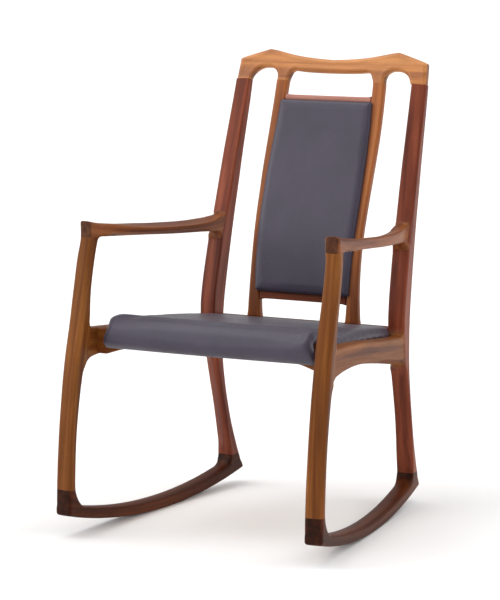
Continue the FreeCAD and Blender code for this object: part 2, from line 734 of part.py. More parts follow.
# Corner blocks and their screws, in the leaning plane of the seat
blocks = []
block_screws = []
board_screws = []
bite = values["screw_bite"]
from_corner = values["screw_from_corner"]
block_middle_level = -0.5 * values["corner_block_depth"]
for end, inward in {"front": 1, "back": -1}.items():
    blocks.append(make_corner_block(end, inward))
    along = values[f"corner_block_{end}_along"]
    out = values[f"corner_block_{end}_out"]
    tip = SEAT_PLANE.multVec(FreeCAD.Vector(out - from_corner, along - inward * bite,
                                            block_middle_level))
    toward_rail = SEAT_TURN.multVec(FreeCAD.Vector(0, -inward, 0))
    block_screws.append(make_screw(f"{end}_cross_screw", tip, toward_rail))
    tip = SEAT_PLANE.multVec(FreeCAD.Vector(out + bite, along + inward * from_corner,
                                            block_middle_level))
    block_screws.append(make_screw(f"{end}_side_screw", tip, SEAT_TURN.multVec(ACROSS)))
    tip = SEAT_PLANE.multVec(FreeCAD.Vector(out - values["board_screw_from_side"],
                                            along + inward * values["board_screw_from_end"],
                                            values["board_screw_tip_height"]))
    board_screws.append(make_screw(f"{end}_board_screw", tip, SEAT_UP))
doc.recompute()


def both_sides(name, members):
    """A group of identical fastenings, with their left-hand twins."""
    twins = [mirrored(member, f"{member.Name}_left") for member in members]
    return group(name, members + twins)


groups = {
    "rocker_dowels": both_sides("rocker_dowels", rocker_dowels),
    "arm_dowels": both_sides("arm_dowels", arm_dowels),
    "seat_rail_dowels": both_sides("seat_rail_dowels", rail_dowels),
    "crest_dowels": both_sides("crest_dowels", crest_dowels),
    "back_frame_dowels": both_sides("back_frame_dowels", back_dowels),
    "corner_block_screws": both_sides("corner_block_screws", block_screws),
    "seat_board_screws": both_sides("seat_board_screws", board_screws),
}
doc.recompute()

# Each right-hand member is shaped by its neighbours, drilled, then mirrored
right = {
    "rocker": cut("right_rocker", rocker, [groups["rocker_dowels"]]),
    "front_leg": cut("right_front_leg", front_leg,
                     [groups["rocker_dowels"], groups["arm_dowels"], groups["seat_rail_dowels"]]),
    "rear_post": cut("right_rear_post", rear_post,
                     [above, groups["rocker_dowels"], groups["arm_dowels"],
                      groups["seat_rail_dowels"], groups["crest_dowels"]]),
    "arm": cut("right_arm", arm, [rear_post, front_leg, groups["arm_dowels"]]),
    "side_rail": cut("right_side_rail", side_rail,
                     [rear_post, front_leg, groups["seat_rail_dowels"],
                      groups["corner_block_screws"]]),
    "stile": cut("right_stile", stile_blank, [above, groups["crest_dowels"],
                                              groups["back_frame_dowels"]]),
}
parts = {}
for name, piece in right.items():
    parts[f"right_{name}"] = piece
    parts[f"left_{name}"] = mirrored(piece, f"left_{name}")
doc.recompute()

side_rails = [side_rail, mirrored(side_rail, "left_side_rail_blank")]
posts = [rear_post, mirrored(rear_post, "left_rear_post_blank")]
rear_rail = make_box("rear_rail", CENTRE, "2 * Sizes.rear_rail_half_length",
                     "Sizes.rear_rail_back - Sizes.rear_rail_front",
                     "Sizes.rear_rail_top - Sizes.rear_rail_bottom",
                     (-values["rear_rail_half_length"], values["rear_rail_front"],
                      values["rear_rail_bottom"]))
doc.recompute()
parts["front_seat_rail"] = cut("front_seat_rail", front_rail,
                               side_rails + [groups["seat_rail_dowels"],
                                             groups["corner_block_screws"]])
parts["rear_seat_rail"] = cut("rear_seat_rail", rear_rail,
                              posts + side_rails + [groups["seat_rail_dowels"],
                                                    groups["back_frame_dowels"],
                                                    groups["corner_block_screws"]])
parts["crest_rail"] = cut("crest_rail", crest, [groups["crest_dowels"]])

top_rail = back_member("top_rail", values["panel_rail_half_length"], 0, values["stile_depth"],
                       -0.5 * values["stile_depth"], values["panel_top_rail_bottom"],
                       values["panel_top_rail_bottom"] + values["panel_top_rail_height"])
bottom_rail = back_member("bottom_rail", values["panel_rail_half_length"], 0,
                          values["stile_depth"], -0.5 * values["stile_depth"],
                          values["panel_bottom_rail_top"] - values["panel_bottom_rail_height"],
                          values["panel_bottom_rail_top"])
parts["panel_top_rail"] = cut("panel_top_rail", top_rail, [groups["back_frame_dowels"]])
parts["panel_bottom_rail"] = cut("panel_bottom_rail", bottom_rail, [groups["back_frame_dowels"]])
parts["back_panel_board"] = back_member("back_panel_board", values["board_half_width"], 0,
                                        values["board_thickness"], -0.5 * values["stile_depth"],
                                        values["board_bottom"], values["board_top"])
parts["back_cushion"] = back_member("back_cushion", values["pad_half_width"], 0,
                                    values["pad_thickness"],
                                    -0.5 * values["stile_depth"] - values["pad_thickness"],
                                    values["pad_bottom"], values["pad_top"])
parts["seat_board"] = cut("seat_board", seat_panel, [groups["seat_board_screws"]])
parts["seat_cushion"] = make_seat_cushion()
drilled = [cut(f"drilled_{block.Name}", block, [groups["corner_block_screws"],
                                                groups["seat_board_screws"]])
           for block in blocks]
parts["corner_blocks"] = both_sides("corner_blocks", drilled)
parts.update(groups)

doc.recompute()
for item in doc.Objects:
    if {"Invalid", "Error"} & set(item.State):
        raise SystemExit(f"{item.Name} failed: {item.State}")
os.makedirs("parts", exist_ok=True)
for label, piece in parts.items():
    piece.Label = label
    shape = piece.Shape
    if shape.isNull() or not shape.isValid():
        raise SystemExit(f"{label} has no valid shape")
    shape.exportStep(f"parts/{label}.step")
    print(label, len(shape.Solids), "solids", round(shape.Volume / 1000), "cm3")
whole = Part.makeCompound([piece.Shape for piece in parts.values()]).BoundBox
print("box", whole)
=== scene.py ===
"""The looks of a sculpted hardwood rocking chair with leather upholstery.

The shapes are worked out in millimetres and become metres when a mesh is made.
"Along" runs back from the toe of the chair, "height" runs up from the floor, and
"across" is the chair's X. The right-hand pieces are shaped, then mirrored.

Wood pieces are zero surfaces of distance fields: a side frame is one profile in
its own upright plane, given a thickness, and is cut into its pieces at the joints.
"""
import json
import math

import bmesh
import bpy
import numpy as np
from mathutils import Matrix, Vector

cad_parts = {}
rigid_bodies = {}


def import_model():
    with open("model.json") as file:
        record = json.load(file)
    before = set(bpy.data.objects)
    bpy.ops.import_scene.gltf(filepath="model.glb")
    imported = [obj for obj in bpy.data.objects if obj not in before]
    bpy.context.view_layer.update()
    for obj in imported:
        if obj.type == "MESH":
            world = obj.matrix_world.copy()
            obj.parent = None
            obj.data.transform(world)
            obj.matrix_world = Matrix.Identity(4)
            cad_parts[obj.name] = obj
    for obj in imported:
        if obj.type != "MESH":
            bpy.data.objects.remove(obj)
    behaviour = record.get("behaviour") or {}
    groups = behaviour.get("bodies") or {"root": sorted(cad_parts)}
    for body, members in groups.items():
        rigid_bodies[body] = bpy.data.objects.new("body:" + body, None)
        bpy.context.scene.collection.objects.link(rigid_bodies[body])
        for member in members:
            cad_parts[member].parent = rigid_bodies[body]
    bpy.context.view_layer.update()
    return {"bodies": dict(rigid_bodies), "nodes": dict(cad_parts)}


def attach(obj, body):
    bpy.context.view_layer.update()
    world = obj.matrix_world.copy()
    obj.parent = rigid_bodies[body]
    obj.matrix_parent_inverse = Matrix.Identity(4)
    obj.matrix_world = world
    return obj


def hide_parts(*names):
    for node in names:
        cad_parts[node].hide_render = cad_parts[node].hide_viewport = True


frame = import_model()
BODY = list(frame["bodies"])[0]

MM = 0.001
TOE_HALF_WIDTH = 311.7            # centre line to the outer plane of a side frame, at the toe
HALF_DEPTH = 361.0                # toe to the chair's origin
TOE_IN = math.radians(6.19)       # each side frame turns inwards to the back
RECLINE = math.radians(16.7)      # lean of the crest rail's plane
CREST_HEIGHT = 932.0              # where that plane's origin sits, at the crest's lower end
CREST_ALONG = 700.0
CUT_SNAP = 1e-4                   # points closer than this to a cutting plane count as on it
FAR_INSIDE = -50.0                # a distance that never trims a field


# ---------------- distance fields

def curve(*knots):
    """A smooth line through (place, value) knots, straight beyond its ends."""
    place = np.array([knot[0] for knot in knots], float)
    value = np.array([knot[1] for knot in knots], float)
    slope = np.gradient(value, place)

    def at(where):
        where = np.asarray(where, float)
        inside = np.clip(where, place[0], place[-1])
        index = np.clip(np.searchsorted(place, inside) - 1, 0, len(place) - 2)
        span = place[index + 1] - place[index]
        part = (inside - place[index]) / span
        rest = 1 - part
        result = value[index] * (1 + 2 * part) * rest**2
        result += value[index + 1] * (3 - 2 * part) * part**2
        result += span * part * rest * (slope[index] * rest - slope[index + 1] * part)
        end_slope = np.where(where < place[0], slope[0], slope[-1])
        return result + (where - inside) * end_slope

    return at


def beyond(line, place, value):
    """Signed distance from a curve, positive where value is above it."""
    steepness = line(place + 1) - line(place - 1)
    return (value - line(place)) / np.sqrt(1 + (0.5 * steepness)**2)


def rounded_both(first, second, radius):
    """Inside both fields, with the corner between them rounded."""
    corner = np.hypot(np.maximum(first + radius, 0), np.maximum(second + radius, 0))
    return np.minimum(np.maximum(first, second), -radius) + corner


def fade(value, start, end):
    """0 at start, 1 at end, smooth between them."""
    part = np.clip((value - start) / (end - start), 0, 1)
    return part * part * (3 - 2 * part)


def zero_surface(field, low, step):
    """Points and four-sided faces on the zero level of a grid (negative inside)."""
    inside = field < 0
    cells = tuple(size - 1 for size in field.shape)
    count = np.zeros(cells, np.int8)
    corners = [(i, j, k) for i in (0, 1) for j in (0, 1) for k in (0, 1)]
    for i, j, k in corners:
        count += inside[i:i + cells[0], j:j + cells[1], k:k + cells[2]]
    active = np.argwhere((count > 0) & (count < 8))
    total = np.zeros((len(active), 3))
    crossings = np.zeros(len(active))
    for corner in corners:
        for axis in range(3):
            if corner[axis]:
                continue
            other = tuple(c + (a == axis) for a, c in enumerate(corner))
            first = field[tuple((active + corner).T)]
            second = field[tuple((active + other).T)]
            crossing = (first < 0) != (second < 0)
            share = np.where(crossing, first / np.where(crossing, first - second, 1), 0)
            point = np.array(corner) + share[:, None] * (np.arange(3) == axis)
            total += point * crossing[:, None]
            crossings += crossing
    points = np.array(low) + step * (active + total / crossings[:, None])
    number = np.full(cells, -1, np.int64)
    number[tuple(active.T)] = np.arange(len(active))
    faces = []
    for axis in range(3):
        across = np.zeros(3, int)
        across[(axis + 1) % 3] = 1
        up = np.zeros(3, int)
        up[(axis + 2) % 3] = 1
        ahead = np.roll(inside, -1, axis)
        edges = np.argwhere(inside != ahead)
        limit = np.array(cells) - (np.arange(3) == axis)
        beside = across + up
        edges = edges[np.all((edges >= beside) & (edges <= limit - beside), axis=1)]
        ring = [edges - beside, edges - up, edges, edges - across]
        quads = np.stack([number[tuple(spot.T)] for spot in ring], axis=1)
        flip = ~inside[tuple(edges.T)]
        quads[flip] = quads[flip, ::-1]
        faces.append(quads[np.all(quads >= 0, axis=1)])
    return points, np.concatenate(faces)


def grid(low, high, step):
    """Open coordinate arrays of a grid."""
    axes = [np.arange(a, b + step, step) for a, b in zip(low, high)]
    return np.meshgrid(*axes, indexing="ij", sparse=True)


# ---------------- pieces

def new_piece(name, points, faces, material, slot, nodes, grain=None):
    """A smooth mesh object, in place of some CAD nodes."""
    mesh = bpy.data.meshes.new(name)
    mesh.from_pydata((np.asarray(points) * MM).tolist(), [], faces)
    mesh.validate()
    mesh.shade_smooth()
    if grain is not None:
        values = (np.asarray(grain) * MM).astype(np.float32)
        attribute = mesh.attributes.new("grain", "FLOAT_VECTOR", "POINT")
        attribute.data.foreach_set("vector", values.ravel())
    piece = bpy.data.objects.new(name, mesh)
    bpy.context.collection.objects.link(piece)
    mesh.materials.append(material)
    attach(piece, BODY)
    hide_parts(*nodes)
    return piece


def new_pair(name, points, faces, material, grain, left_shift):
    """A right-hand frame piece and its mirror image, whose grain is another stretch."""
    new_piece(f"right_{name}_sculpted", points, faces, material, "frame_wood",
              [f"right_{name}"], grain)
    new_piece(f"left_{name}_sculpted", *mirror(points, faces), material, "frame_wood",
              [f"left_{name}"], grain + np.array(left_shift))


def mirror(points, faces):
    """The other side's points and faces, still facing outwards."""
    return points * np.array([-1, 1, 1]), [list(face)[::-1] for face in faces]


def to_bmesh(points, faces):
    mesh = bpy.data.meshes.new("work")
    mesh.from_pydata(points, [], faces)
    work = bmesh.new()
    work.from_mesh(mesh)
    bpy.data.meshes.remove(mesh)
    return work


def close_holes(work):
    open_edges = [edge for edge in work.edges if edge.is_boundary]
    bmesh.ops.holes_fill(work, edges=open_edges, sides=0)


def split(points, faces, seams, sorter, names):
    """Cuts a mesh along local seams and sorts its faces into closed pieces.

    A seam is (point, normal, (low, high)), and cuts only in the box from low to high.
    The sorter gives each face centre the index of its piece's name."""
    work = to_bmesh(points.tolist(), faces.tolist())
    for point, normal, (low, high) in seams:
        near = {vert for vert in work.verts
                if all(low[axis] <= vert.co[axis] <= high[axis] for axis in range(3))}
        near_faces = [face for face in work.faces if all(vert in near for vert in face.verts)]
        near_edges = {edge for face in near_faces for edge in face.edges}
        near_verts = {vert for face in near_faces for vert in face.verts}
        bmesh.ops.bisect_plane(work, geom=near_faces + list(near_edges) + list(near_verts),
                               plane_co=point, plane_no=normal, dist=CUT_SNAP)
    centres = np.array([face.calc_center_median() for face in work.faces])
    kinds = sorter(centres)
    work.faces.ensure_lookup_table()
    result = {}
    for kind, name in enumerate(names):
        chosen = [face for face, own in zip(work.faces, kinds) if own == kind]
        number = {}
        corners = []
        for face in chosen:
            corners.append([number.setdefault(vert, len(number)) for vert in face.verts])
        piece = to_bmesh([vert.co for vert in number], corners)
        close_holes(piece)
        piece.verts.ensure_lookup_table()
        own_points = np.array([vert.co for vert in piece.verts])
        own_faces = [[vert.index for vert in face.verts] for face in piece.faces]
        piece.free()
        result[name] = (own_points, own_faces)
    work.free()
    return result


def side_to_chair(points):
    """From the right side frame's plane to the chair's frame."""
    x, y, z = points.T
    return np.stack([TOE_HALF_WIDTH + math.cos(TOE_IN) * x - math.sin(TOE_IN) * y,
                     -HALF_DEPTH + math.sin(TOE_IN) * x + math.cos(TOE_IN) * y, z], axis=1)


def crest_to_chair(points):
    """From the plane of the crest rail to the chair's frame."""
    x, y, z = points.T
    along = CREST_ALONG - HALF_DEPTH + math.cos(RECLINE) * y + math.sin(RECLINE) * z
    height = CREST_HEIGHT - math.sin(RECLINE) * y + math.cos(RECLINE) * z
    return np.stack([x, along, height], axis=1)


# ---------------- materials

def feed(tree, socket, value):
    """Links an output to a socket, or sets the socket to a plain value."""
    if isinstance(value, bpy.types.NodeSocket):
        tree.links.new(value, socket)
    else:
        socket.default_value = value


def node(tree, kind, **settings):
    """A node: a setting with a socket's name feeds it, any other is a property."""
    made = tree.nodes.new(kind)
    for key, value in settings.items():
        socket = made.inputs.get(key.replace("_", " "))
        if socket is None:
            setattr(made, key, value)
        else:
            feed(tree, socket, value)
    return made


def math_node(tree, operation, first, second, clamp=False):
    made = node(tree, "ShaderNodeMath", operation=operation, use_clamp=clamp)
    feed(tree, made.inputs[0], first)
    feed(tree, made.inputs[1], second)
    return made.outputs[0]


def vector_math(tree, operation, first, second):
    """The outputs of a vector math node: Vector, or Value for a dot product."""
    made = node(tree, "ShaderNodeVectorMath", operation=operation)
    feed(tree, made.inputs[0], first)
    feed(tree, made.inputs[1], second)
    return made.outputs


def mix_color(tree, factor, first, second, blend="MIX"):
    """A mix of two colours. A mix node's colour sockets come after its other kinds."""
    made = node(tree, "ShaderNodeMix", data_type="RGBA", blend_type=blend)
    feed(tree, made.inputs[0], factor)
    feed(tree, made.inputs[6], first)
    feed(tree, made.inputs[7], second)
    return made.outputs[2]


def stretched_noise(tree, coordinates, along, across, detail=4.0, roughness=0.55,
                    distortion=0.0):
    """Noise drawn out along the grain: features per metre along and across it."""
    mapping = node(tree, "ShaderNodeMapping", Vector=coordinates, Scale=(along, across, across))
    noise = node(tree, "ShaderNodeTexNoise", Vector=mapping.outputs[0], Scale=1.0, Detail=detail,
                 Roughness=roughness, Distortion=distortion)
    return noise.outputs[0]


def ramp(tree, factor, *stops):
    """A colour ramp through (place, colour) stops."""
    made = node(tree, "ShaderNodeValToRGB", Fac=factor)
    elements = made.color_ramp.elements
    while len(elements) < len(stops):
        elements.new(0.5)
    for element, (place, color) in zip(elements, stops):
        element.position = place
        element.color = (*color, 1)
    return made.outputs[0]


def add_relief(tree, shader, height, strength, distance):
    bump = node(tree, "ShaderNodeBump", Height=height, Strength=strength, Distance=distance)
    tree.links.new(bump.outputs[0], shader.inputs["Normal"])


def new_material(name):
    material = bpy.data.materials.new(name)
    material.use_nodes = True
    tree = material.node_tree
    return material, tree, tree.nodes["Principled BSDF"]


def srgb(red, green, blue):
    """A colour given as 0..255 display values, in linear light."""
    channels = []
    for value in (red, green, blue):
        value /= 255
        low = value / 12.92
        high = ((value + 0.055) / 1.055)**2.4
        channels.append(low if value <= 0.04045 else high)
    return tuple(channels)


# Tones that a wood's own colour is multiplied by, and how strongly
BROAD_TONES = ((0.80, 0.76, 0.74), (1.14, 1.12, 1.08))
FIBRE_TONES = ((0.78, 0.74, 0.70), (1.08, 1.07, 1.05))
FIBRE_STRENGTH = 0.75
PORE_TONE = (0.42, 0.36, 0.32)
PORE_STRENGTH = 0.55
END_TONE = (0.34, 0.36, 0.42, 1)
END_STRENGTH = 0.85
END_FACING = 0.72                 # how squarely a face must turn to the end axis
END_SHARPNESS = 6.0


def wood(name, dark, middle, light, seed, shine=0.10, end_axis=None, end_reach=10.0):
    """Oiled hardwood: growth bands, fibres, pores and darker end grain.

    Each wood looks at its own stretch of the noise, which seed picks. End grain shows where
    the surface faces end_axis, as far as end_reach along the grain, in metres."""
    material, tree, shader = new_material(name)
    grain = node(tree, "ShaderNodeAttribute", attribute_name="grain").outputs["Vector"]
    place = vector_math(tree, "ADD", grain, (seed, 0.37 * seed, 0.71 * seed))["Vector"]
    bands = stretched_noise(tree, place, 2.2, 62, detail=3, roughness=0.5, distortion=0.35)
    broad = stretched_noise(tree, place, 5, 14, detail=2)
    fibres = stretched_noise(tree, place, 18, 900, detail=5, roughness=0.6)
    pores = stretched_noise(tree, place, 90, 2300, detail=2, roughness=0.5)
    stops = zip((0.30, 0.5, 0.70), (srgb(*dark), srgb(*middle), srgb(*light)))
    colour = ramp(tree, bands, *stops)
    tone = ramp(tree, broad, (0.3, BROAD_TONES[0]), (0.7, BROAD_TONES[1]))
    colour = mix_color(tree, 1.0, colour, tone, "MULTIPLY")
    streak = ramp(tree, fibres, (0.28, FIBRE_TONES[0]), (0.62, FIBRE_TONES[1]))
    colour = mix_color(tree, FIBRE_STRENGTH, colour, streak, "MULTIPLY")
    pore = ramp(tree, pores, (0.30, PORE_TONE), (0.42, (1.0, 1.0, 1.0)))
    colour = mix_color(tree, PORE_STRENGTH, colour, pore, "MULTIPLY")
    if end_axis is not None:
        normal = node(tree, "ShaderNodeNewGeometry").outputs["Normal"]
        facing = vector_math(tree, "DOT_PRODUCT", normal, end_axis)["Value"]
        ends = math_node(tree, "ABSOLUTE", facing, 0.0)
        ends = math_node(tree, "SUBTRACT", ends, END_FACING)
        ends = math_node(tree, "MULTIPLY", ends, END_SHARPNESS, clamp=True)
        start = node(tree, "ShaderNodeSeparateXYZ", Vector=grain).outputs[0]
        near_end = math_node(tree, "LESS_THAN", start, end_reach)
        ends = math_node(tree, "MULTIPLY", ends, near_end)
        end_colour = mix_color(tree, 1.0, colour, END_TONE, "MULTIPLY")
        ends = math_node(tree, "MULTIPLY", ends, END_STRENGTH)
        colour = mix_color(tree, ends, colour, end_colour)
    tree.links.new(colour, shader.inputs["Base Color"])
    rough = ramp(tree, fibres, (0.3, (0.48,) * 3), (0.7, (0.36,) * 3))
    tree.links.new(rough, shader.inputs["Roughness"])
    relief = math_node(tree, "ADD", fibres, math_node(tree, "MULTIPLY", pores, 0.6))
    add_relief(tree, shader, relief, strength=0.22, distance=0.0004)
    shader.inputs["Specular IOR Level"].default_value = shine
    return material


DYE_COLOURS = ((53, 47, 62), (65, 58, 75))
PIT_TONE = (0.74, 0.74, 0.76)     # between the pebbles of the grain
PIT_STRENGTH = 0.6


def leather(name):
    """Slate leather: pebble grain, fine creases, uneven dye and a soft sheen."""
    material, tree, shader = new_material(name)
    place = node(tree, "ShaderNodeTexCoord").outputs["Object"]
    pebbles = node(tree, "ShaderNodeTexVoronoi", Vector=place, Scale=620.0, feature="F1",
                   Randomness=1.0)
    small = node(tree, "ShaderNodeTexVoronoi", Vector=place, Scale=1500.0, feature="F1")
    clouds = node(tree, "ShaderNodeTexNoise", Vector=place, Scale=7.0, Detail=5.0, Roughness=0.6)
    creases = node(tree, "ShaderNodeTexNoise", Vector=place, Scale=46.0, Detail=6.0,
                   Roughness=0.7, Distortion=1.2)
    dye = ramp(tree, clouds.outputs[0], (0.3, srgb(*DYE_COLOURS[0])), (0.7, srgb(*DYE_COLOURS[1])))
    pits = ramp(tree, pebbles.outputs["Distance"], (0.25, (1, 1, 1)), (0.75, PIT_TONE))
    colour = mix_color(tree, PIT_STRENGTH, dye, pits, "MULTIPLY")
    tree.links.new(colour, shader.inputs["Base Color"])
    rough = ramp(tree, creases.outputs[0], (0.35, (0.33,) * 3), (0.65, (0.43,) * 3))
    tree.links.new(rough, shader.inputs["Roughness"])
    relief = math_node(tree, "MULTIPLY", pebbles.outputs["Distance"], -1.0)
    for height, share in ((small.outputs["Distance"], -0.35), (creases.outputs[0], 0.9)):
        relief = math_node(tree, "ADD", relief, math_node(tree, "MULTIPLY", height, share))
    add_relief(tree, shader, relief, strength=0.30, distance=0.0006)
    shader.inputs["Specular IOR Level"].default_value = 0.42
    shader.inputs["Sheen Weight"].default_value = 0.06
    shader.inputs["Sheen Roughness"].default_value = 0.5
    return material


def plain_wood(name, dark, light):
    """Raw timber of the hidden pieces, with grain along the chair's width."""
    material, tree, shader = new_material(name)
    place = node(tree, "ShaderNodeTexCoord").outputs["Object"]
    bands = stretched_noise(tree, place, 6, 120, detail=5, roughness=0.6)
    colour = ramp(tree, bands, (0.3, srgb(*dark)), (0.7, srgb(*light)))
    tree.links.new(colour, shader.inputs["Base Color"])
    shader.inputs["Roughness"].default_value = 0.7
    add_relief(tree, shader, bands, strength=0.2, distance=0.0004)
    return material


def steel(name):
    """Zinc-plated steel with fine turning marks."""
    material, tree, shader = new_material(name)
    place = node(tree, "ShaderNodeTexCoord").outputs["Object"]
    marks = stretched_noise(tree, place, 2000, 300, detail=3)
    shader.inputs["Base Color"].default_value = (*srgb(190, 190, 185), 1)
    shader.inputs["Metallic"].default_value = 1.0
    tree.links.new(ramp(tree, marks, (0.3, (0.28,) * 3), (0.7, (0.45,) * 3)),
                   shader.inputs["Roughness"])
    return material


# Colours are the dark, middle and light of the growth bands
ROCKER_WOOD = wood("rocker wood", (50, 20, 8), (74, 34, 14), (98, 50, 22), seed=3.1,
                   end_axis=(0, 1, 0))
LEG_WOOD = wood("leg wood", (84, 44, 16), (114, 66, 28), (138, 87, 42), seed=1.3)
POST_WOOD = wood("post wood", (82, 34, 20), (114, 52, 31), (136, 70, 46), seed=5.7, shine=0.18)
ARM_WOOD = wood("arm wood", (84, 42, 20), (118, 64, 31), (138, 84, 46), seed=7.9, shine=0.18,
                end_axis=(0, 1, 0), end_reach=0.12)
RAIL_WOOD = wood("rail wood", (84, 42, 14), (114, 64, 26), (132, 82, 38), seed=9.2)
CREST_WOOD = wood("crest wood", (152, 88, 38), (188, 120, 58), (208, 142, 80), seed=2.4,
                  shine=0.50, end_axis=(1, 0, 0))
STILE_WOOD = wood("stile wood", (118, 62, 26), (148, 84, 38), (166, 102, 54), seed=4.6,
                  shine=0.25)
PANEL_WOOD = wood("panel wood", (76, 34, 20), (104, 52, 34), (124, 70, 50), seed=6.3)
# A lighter, pinker copy of the panel wood for the top rail: the pink is a painted reflection on
# its face, not a different timber
PANEL_TOP_REFLECTION_WOOD = wood("panel top wood with painted reflection", (140, 84, 70), (170, 112, 98), (186, 132, 118),
                      seed=8.1, shine=0.30)
LEATHER = leather("slate leather")
BACK_BOARD_WOOD = plain_wood("back board wood", (86, 46, 26), (118, 70, 42))
BOARD_WOOD = plain_wood("board wood", (168, 128, 84), (196, 158, 112))
DOWEL_WOOD = plain_wood("dowel wood", (186, 146, 100), (210, 176, 132))
SCREW_STEEL = steel("screw steel")


# ---------------- side frames

# Profile lines of a side frame. Upright ones give the place along at a height,
# level ones the height at a place along.
LEG_FRONT = curve((0, -6), (104, -5), (160, -1.5), (208, 3), (251, 8), (293, 14), (335, 20.5),
                  (379, 29), (450, 46), (541, 69), (585, 79), (633, 90), (668, 89))
LEG_BACK = curve((0, 17), (104, 18), (160, 21), (208, 25), (251, 31), (293, 39), (335, 49),
                 (379, 61), (420, 72), (450, 80), (470, 83.5), (500, 87.5), (541, 96),
                 (585, 108), (633, 121), (668, 130))
POST_FRONT = curve((30, 622), (75, 614), (103, 607), (151, 597), (200, 586), (245, 574),
                   (300, 560), (340, 550), (380, 543), (430, 541), (483, 549), (528, 560),
                   (573, 572), (615, 586), (660, 601), (705, 615), (750, 629), (795, 643.5),
                   (840, 659), (885, 674.5), (933, 690), (975, 703))
POST_BACK = curve((34, 665.5), (51, 657), (72, 647), (102, 635), (152, 618), (201, 605),
                  (250, 594), (298, 585.5), (336, 582), (381, 582), (436, 586), (481, 594),
                  (526, 603), (571, 613), (616, 623.5), (661, 635), (705, 647), (750, 659),
                  (795, 672), (840, 685), (885, 698), (934, 711), (975, 722))
ARM_TOP = curve((60, 672), (89, 668.5), (109, 664), (130, 660), (160, 656), (200, 651),
                (280, 644), (330, 639.5), (390, 635), (460, 631), (520, 630.5), (600, 634))
ARM_BOTTOM = curve((90, 634), (130, 631), (175, 627), (240, 622), (300, 617), (407, 608),
                   (480, 603), (540, 599), (600, 594))
RAIL_TOP = curve((40, 444), (97, 440), (165, 435), (250, 427.5), (335, 417), (435, 404.5),
                 (539, 393.5), (600, 388))
RAIL_BOTTOM = curve((50, 374), (130, 382), (196, 382.5), (260, 378), (319, 369.5), (409, 354),
                    (470, 343), (530, 332), (600, 320))
ROCKER_RADIUS = 1362.0
ROCKER_LOWEST = 355.0
ROCKER_THICKNESS = 26.0

# Outer inset and width of each member, and how far its edges are rounded
LEG_WIDTH = curve((0, 40), (104, 40), (210, 39.5), (300, 39), (385, 38), (445, 37), (540, 35),
                  (633, 32), (668, 31))
LEG_INSET = curve((0, -1), (104, -1), (210, -1.5), (300, -2), (385, -2.5), (450, -2.5),
                  (540, -5), (600, -4.5), (633, -2.5), (668, -1.5))
POST_WIDTH = curve((72, 39), (130, 37.5), (230, 36), (320, 37), (400, 38.5), (480, 39), (700, 39),
                   (780, 38), (860, 37), (932, 36), (975, 35))
POST_INSET = curve((72, -1), (230, -1), (330, -0.5), (480, 0), (932, 0))
ARM_WIDTH = curve((89, 31), (126, 32), (200, 34), (330, 37), (470, 38), (600, 38))
ARM_INSET = curve((89, -2), (200, -1.5), (330, -1), (470, 0), (530, 3), (575, 8), (600, 8))
RAIL_WIDTH = 30.0
RAIL_INSET = 1.5
ROCKER_WIDTH = 40.0
ROCKER_INSET = -1.0
EDGES = {"leg": 7.0, "post": 3.5, "arm": 4.5, "rail": 4.5, "rocker": 4.5}
CROWNS = {"leg": 1.4, "post": 0.6, "arm": 0.8, "rail": 0.4, "rocker": 0.0}
ROCKER_TOP_CROWN = 4.0
BLEND_REACH = 5.0                 # how gently one member's section turns into the next one's

# The profile's corners: how far they are rounded. An opening's corners at one end are
# (the height that parts them, rounding above it, rounding below it).
MIDWAY = 300.0                    # along, between the front and the rear corners
UPPER_FRONT_CORNERS = (540, 8, 16)
UPPER_REAR_CORNERS = (500, 26, 18)
LOWER_FRONT_CORNERS = (220, 30, 42)
LOWER_REAR_CORNERS = (220, 26, 28)
ARM_TO_POST_CORNER = 10.0
TOE_CORNER = 6.0

# Carved facets: how deep they cut, and how far from an opening they reach
FACET_REACH = 12.0
RAIL_FACET_DEGREES = 45
POST_FACET_TURN = 24              # the facet runs down the post this much flatter
REAR_FACET_DEPTH = 8.0
ARM_OUTER_FACET, ARM_INNER_FACET = 2.5, 6.5
ARM_LEAN = 0.24

# Places (along, height) where a level joint is
ROCKER_FRONT_JOINT = (6, 104)
ROCKER_REAR_JOINT = (630, 72)
ARM_FRONT_JOINT = (106, 633)

# Joint lines across the side frame, each from a lower to an upper (along, height)
LEG_SEAM = ((64, 345), (84, 460))
POST_SEAM = ((556.5, 324), (545.5, 403))
ARM_SEAM = ((572, 569), (600.5, 652))

SIDE_STEP = 2.0
SIDE_LOW, SIDE_HIGH = (-48, -12, -4), (8, 738, 976)
SIDE_GRAIN_SHIFT = (0, 90, 40)


def rocker_distance(along, height, thickness):
    """Distance below an arc of the rocker: its underside, or a line this much above it."""
    radius = ROCKER_RADIUS - thickness
    return np.hypot(along - ROCKER_LOWEST, height - ROCKER_RADIUS) - radius


def corner_rounding(along, height, front, rear):
    """Rounding of an opening's nearest corner."""
    by_end = [np.where(height > level, above, below) for level, above, below in (front, rear)]
    return np.where(along < MIDWAY, *by_end)


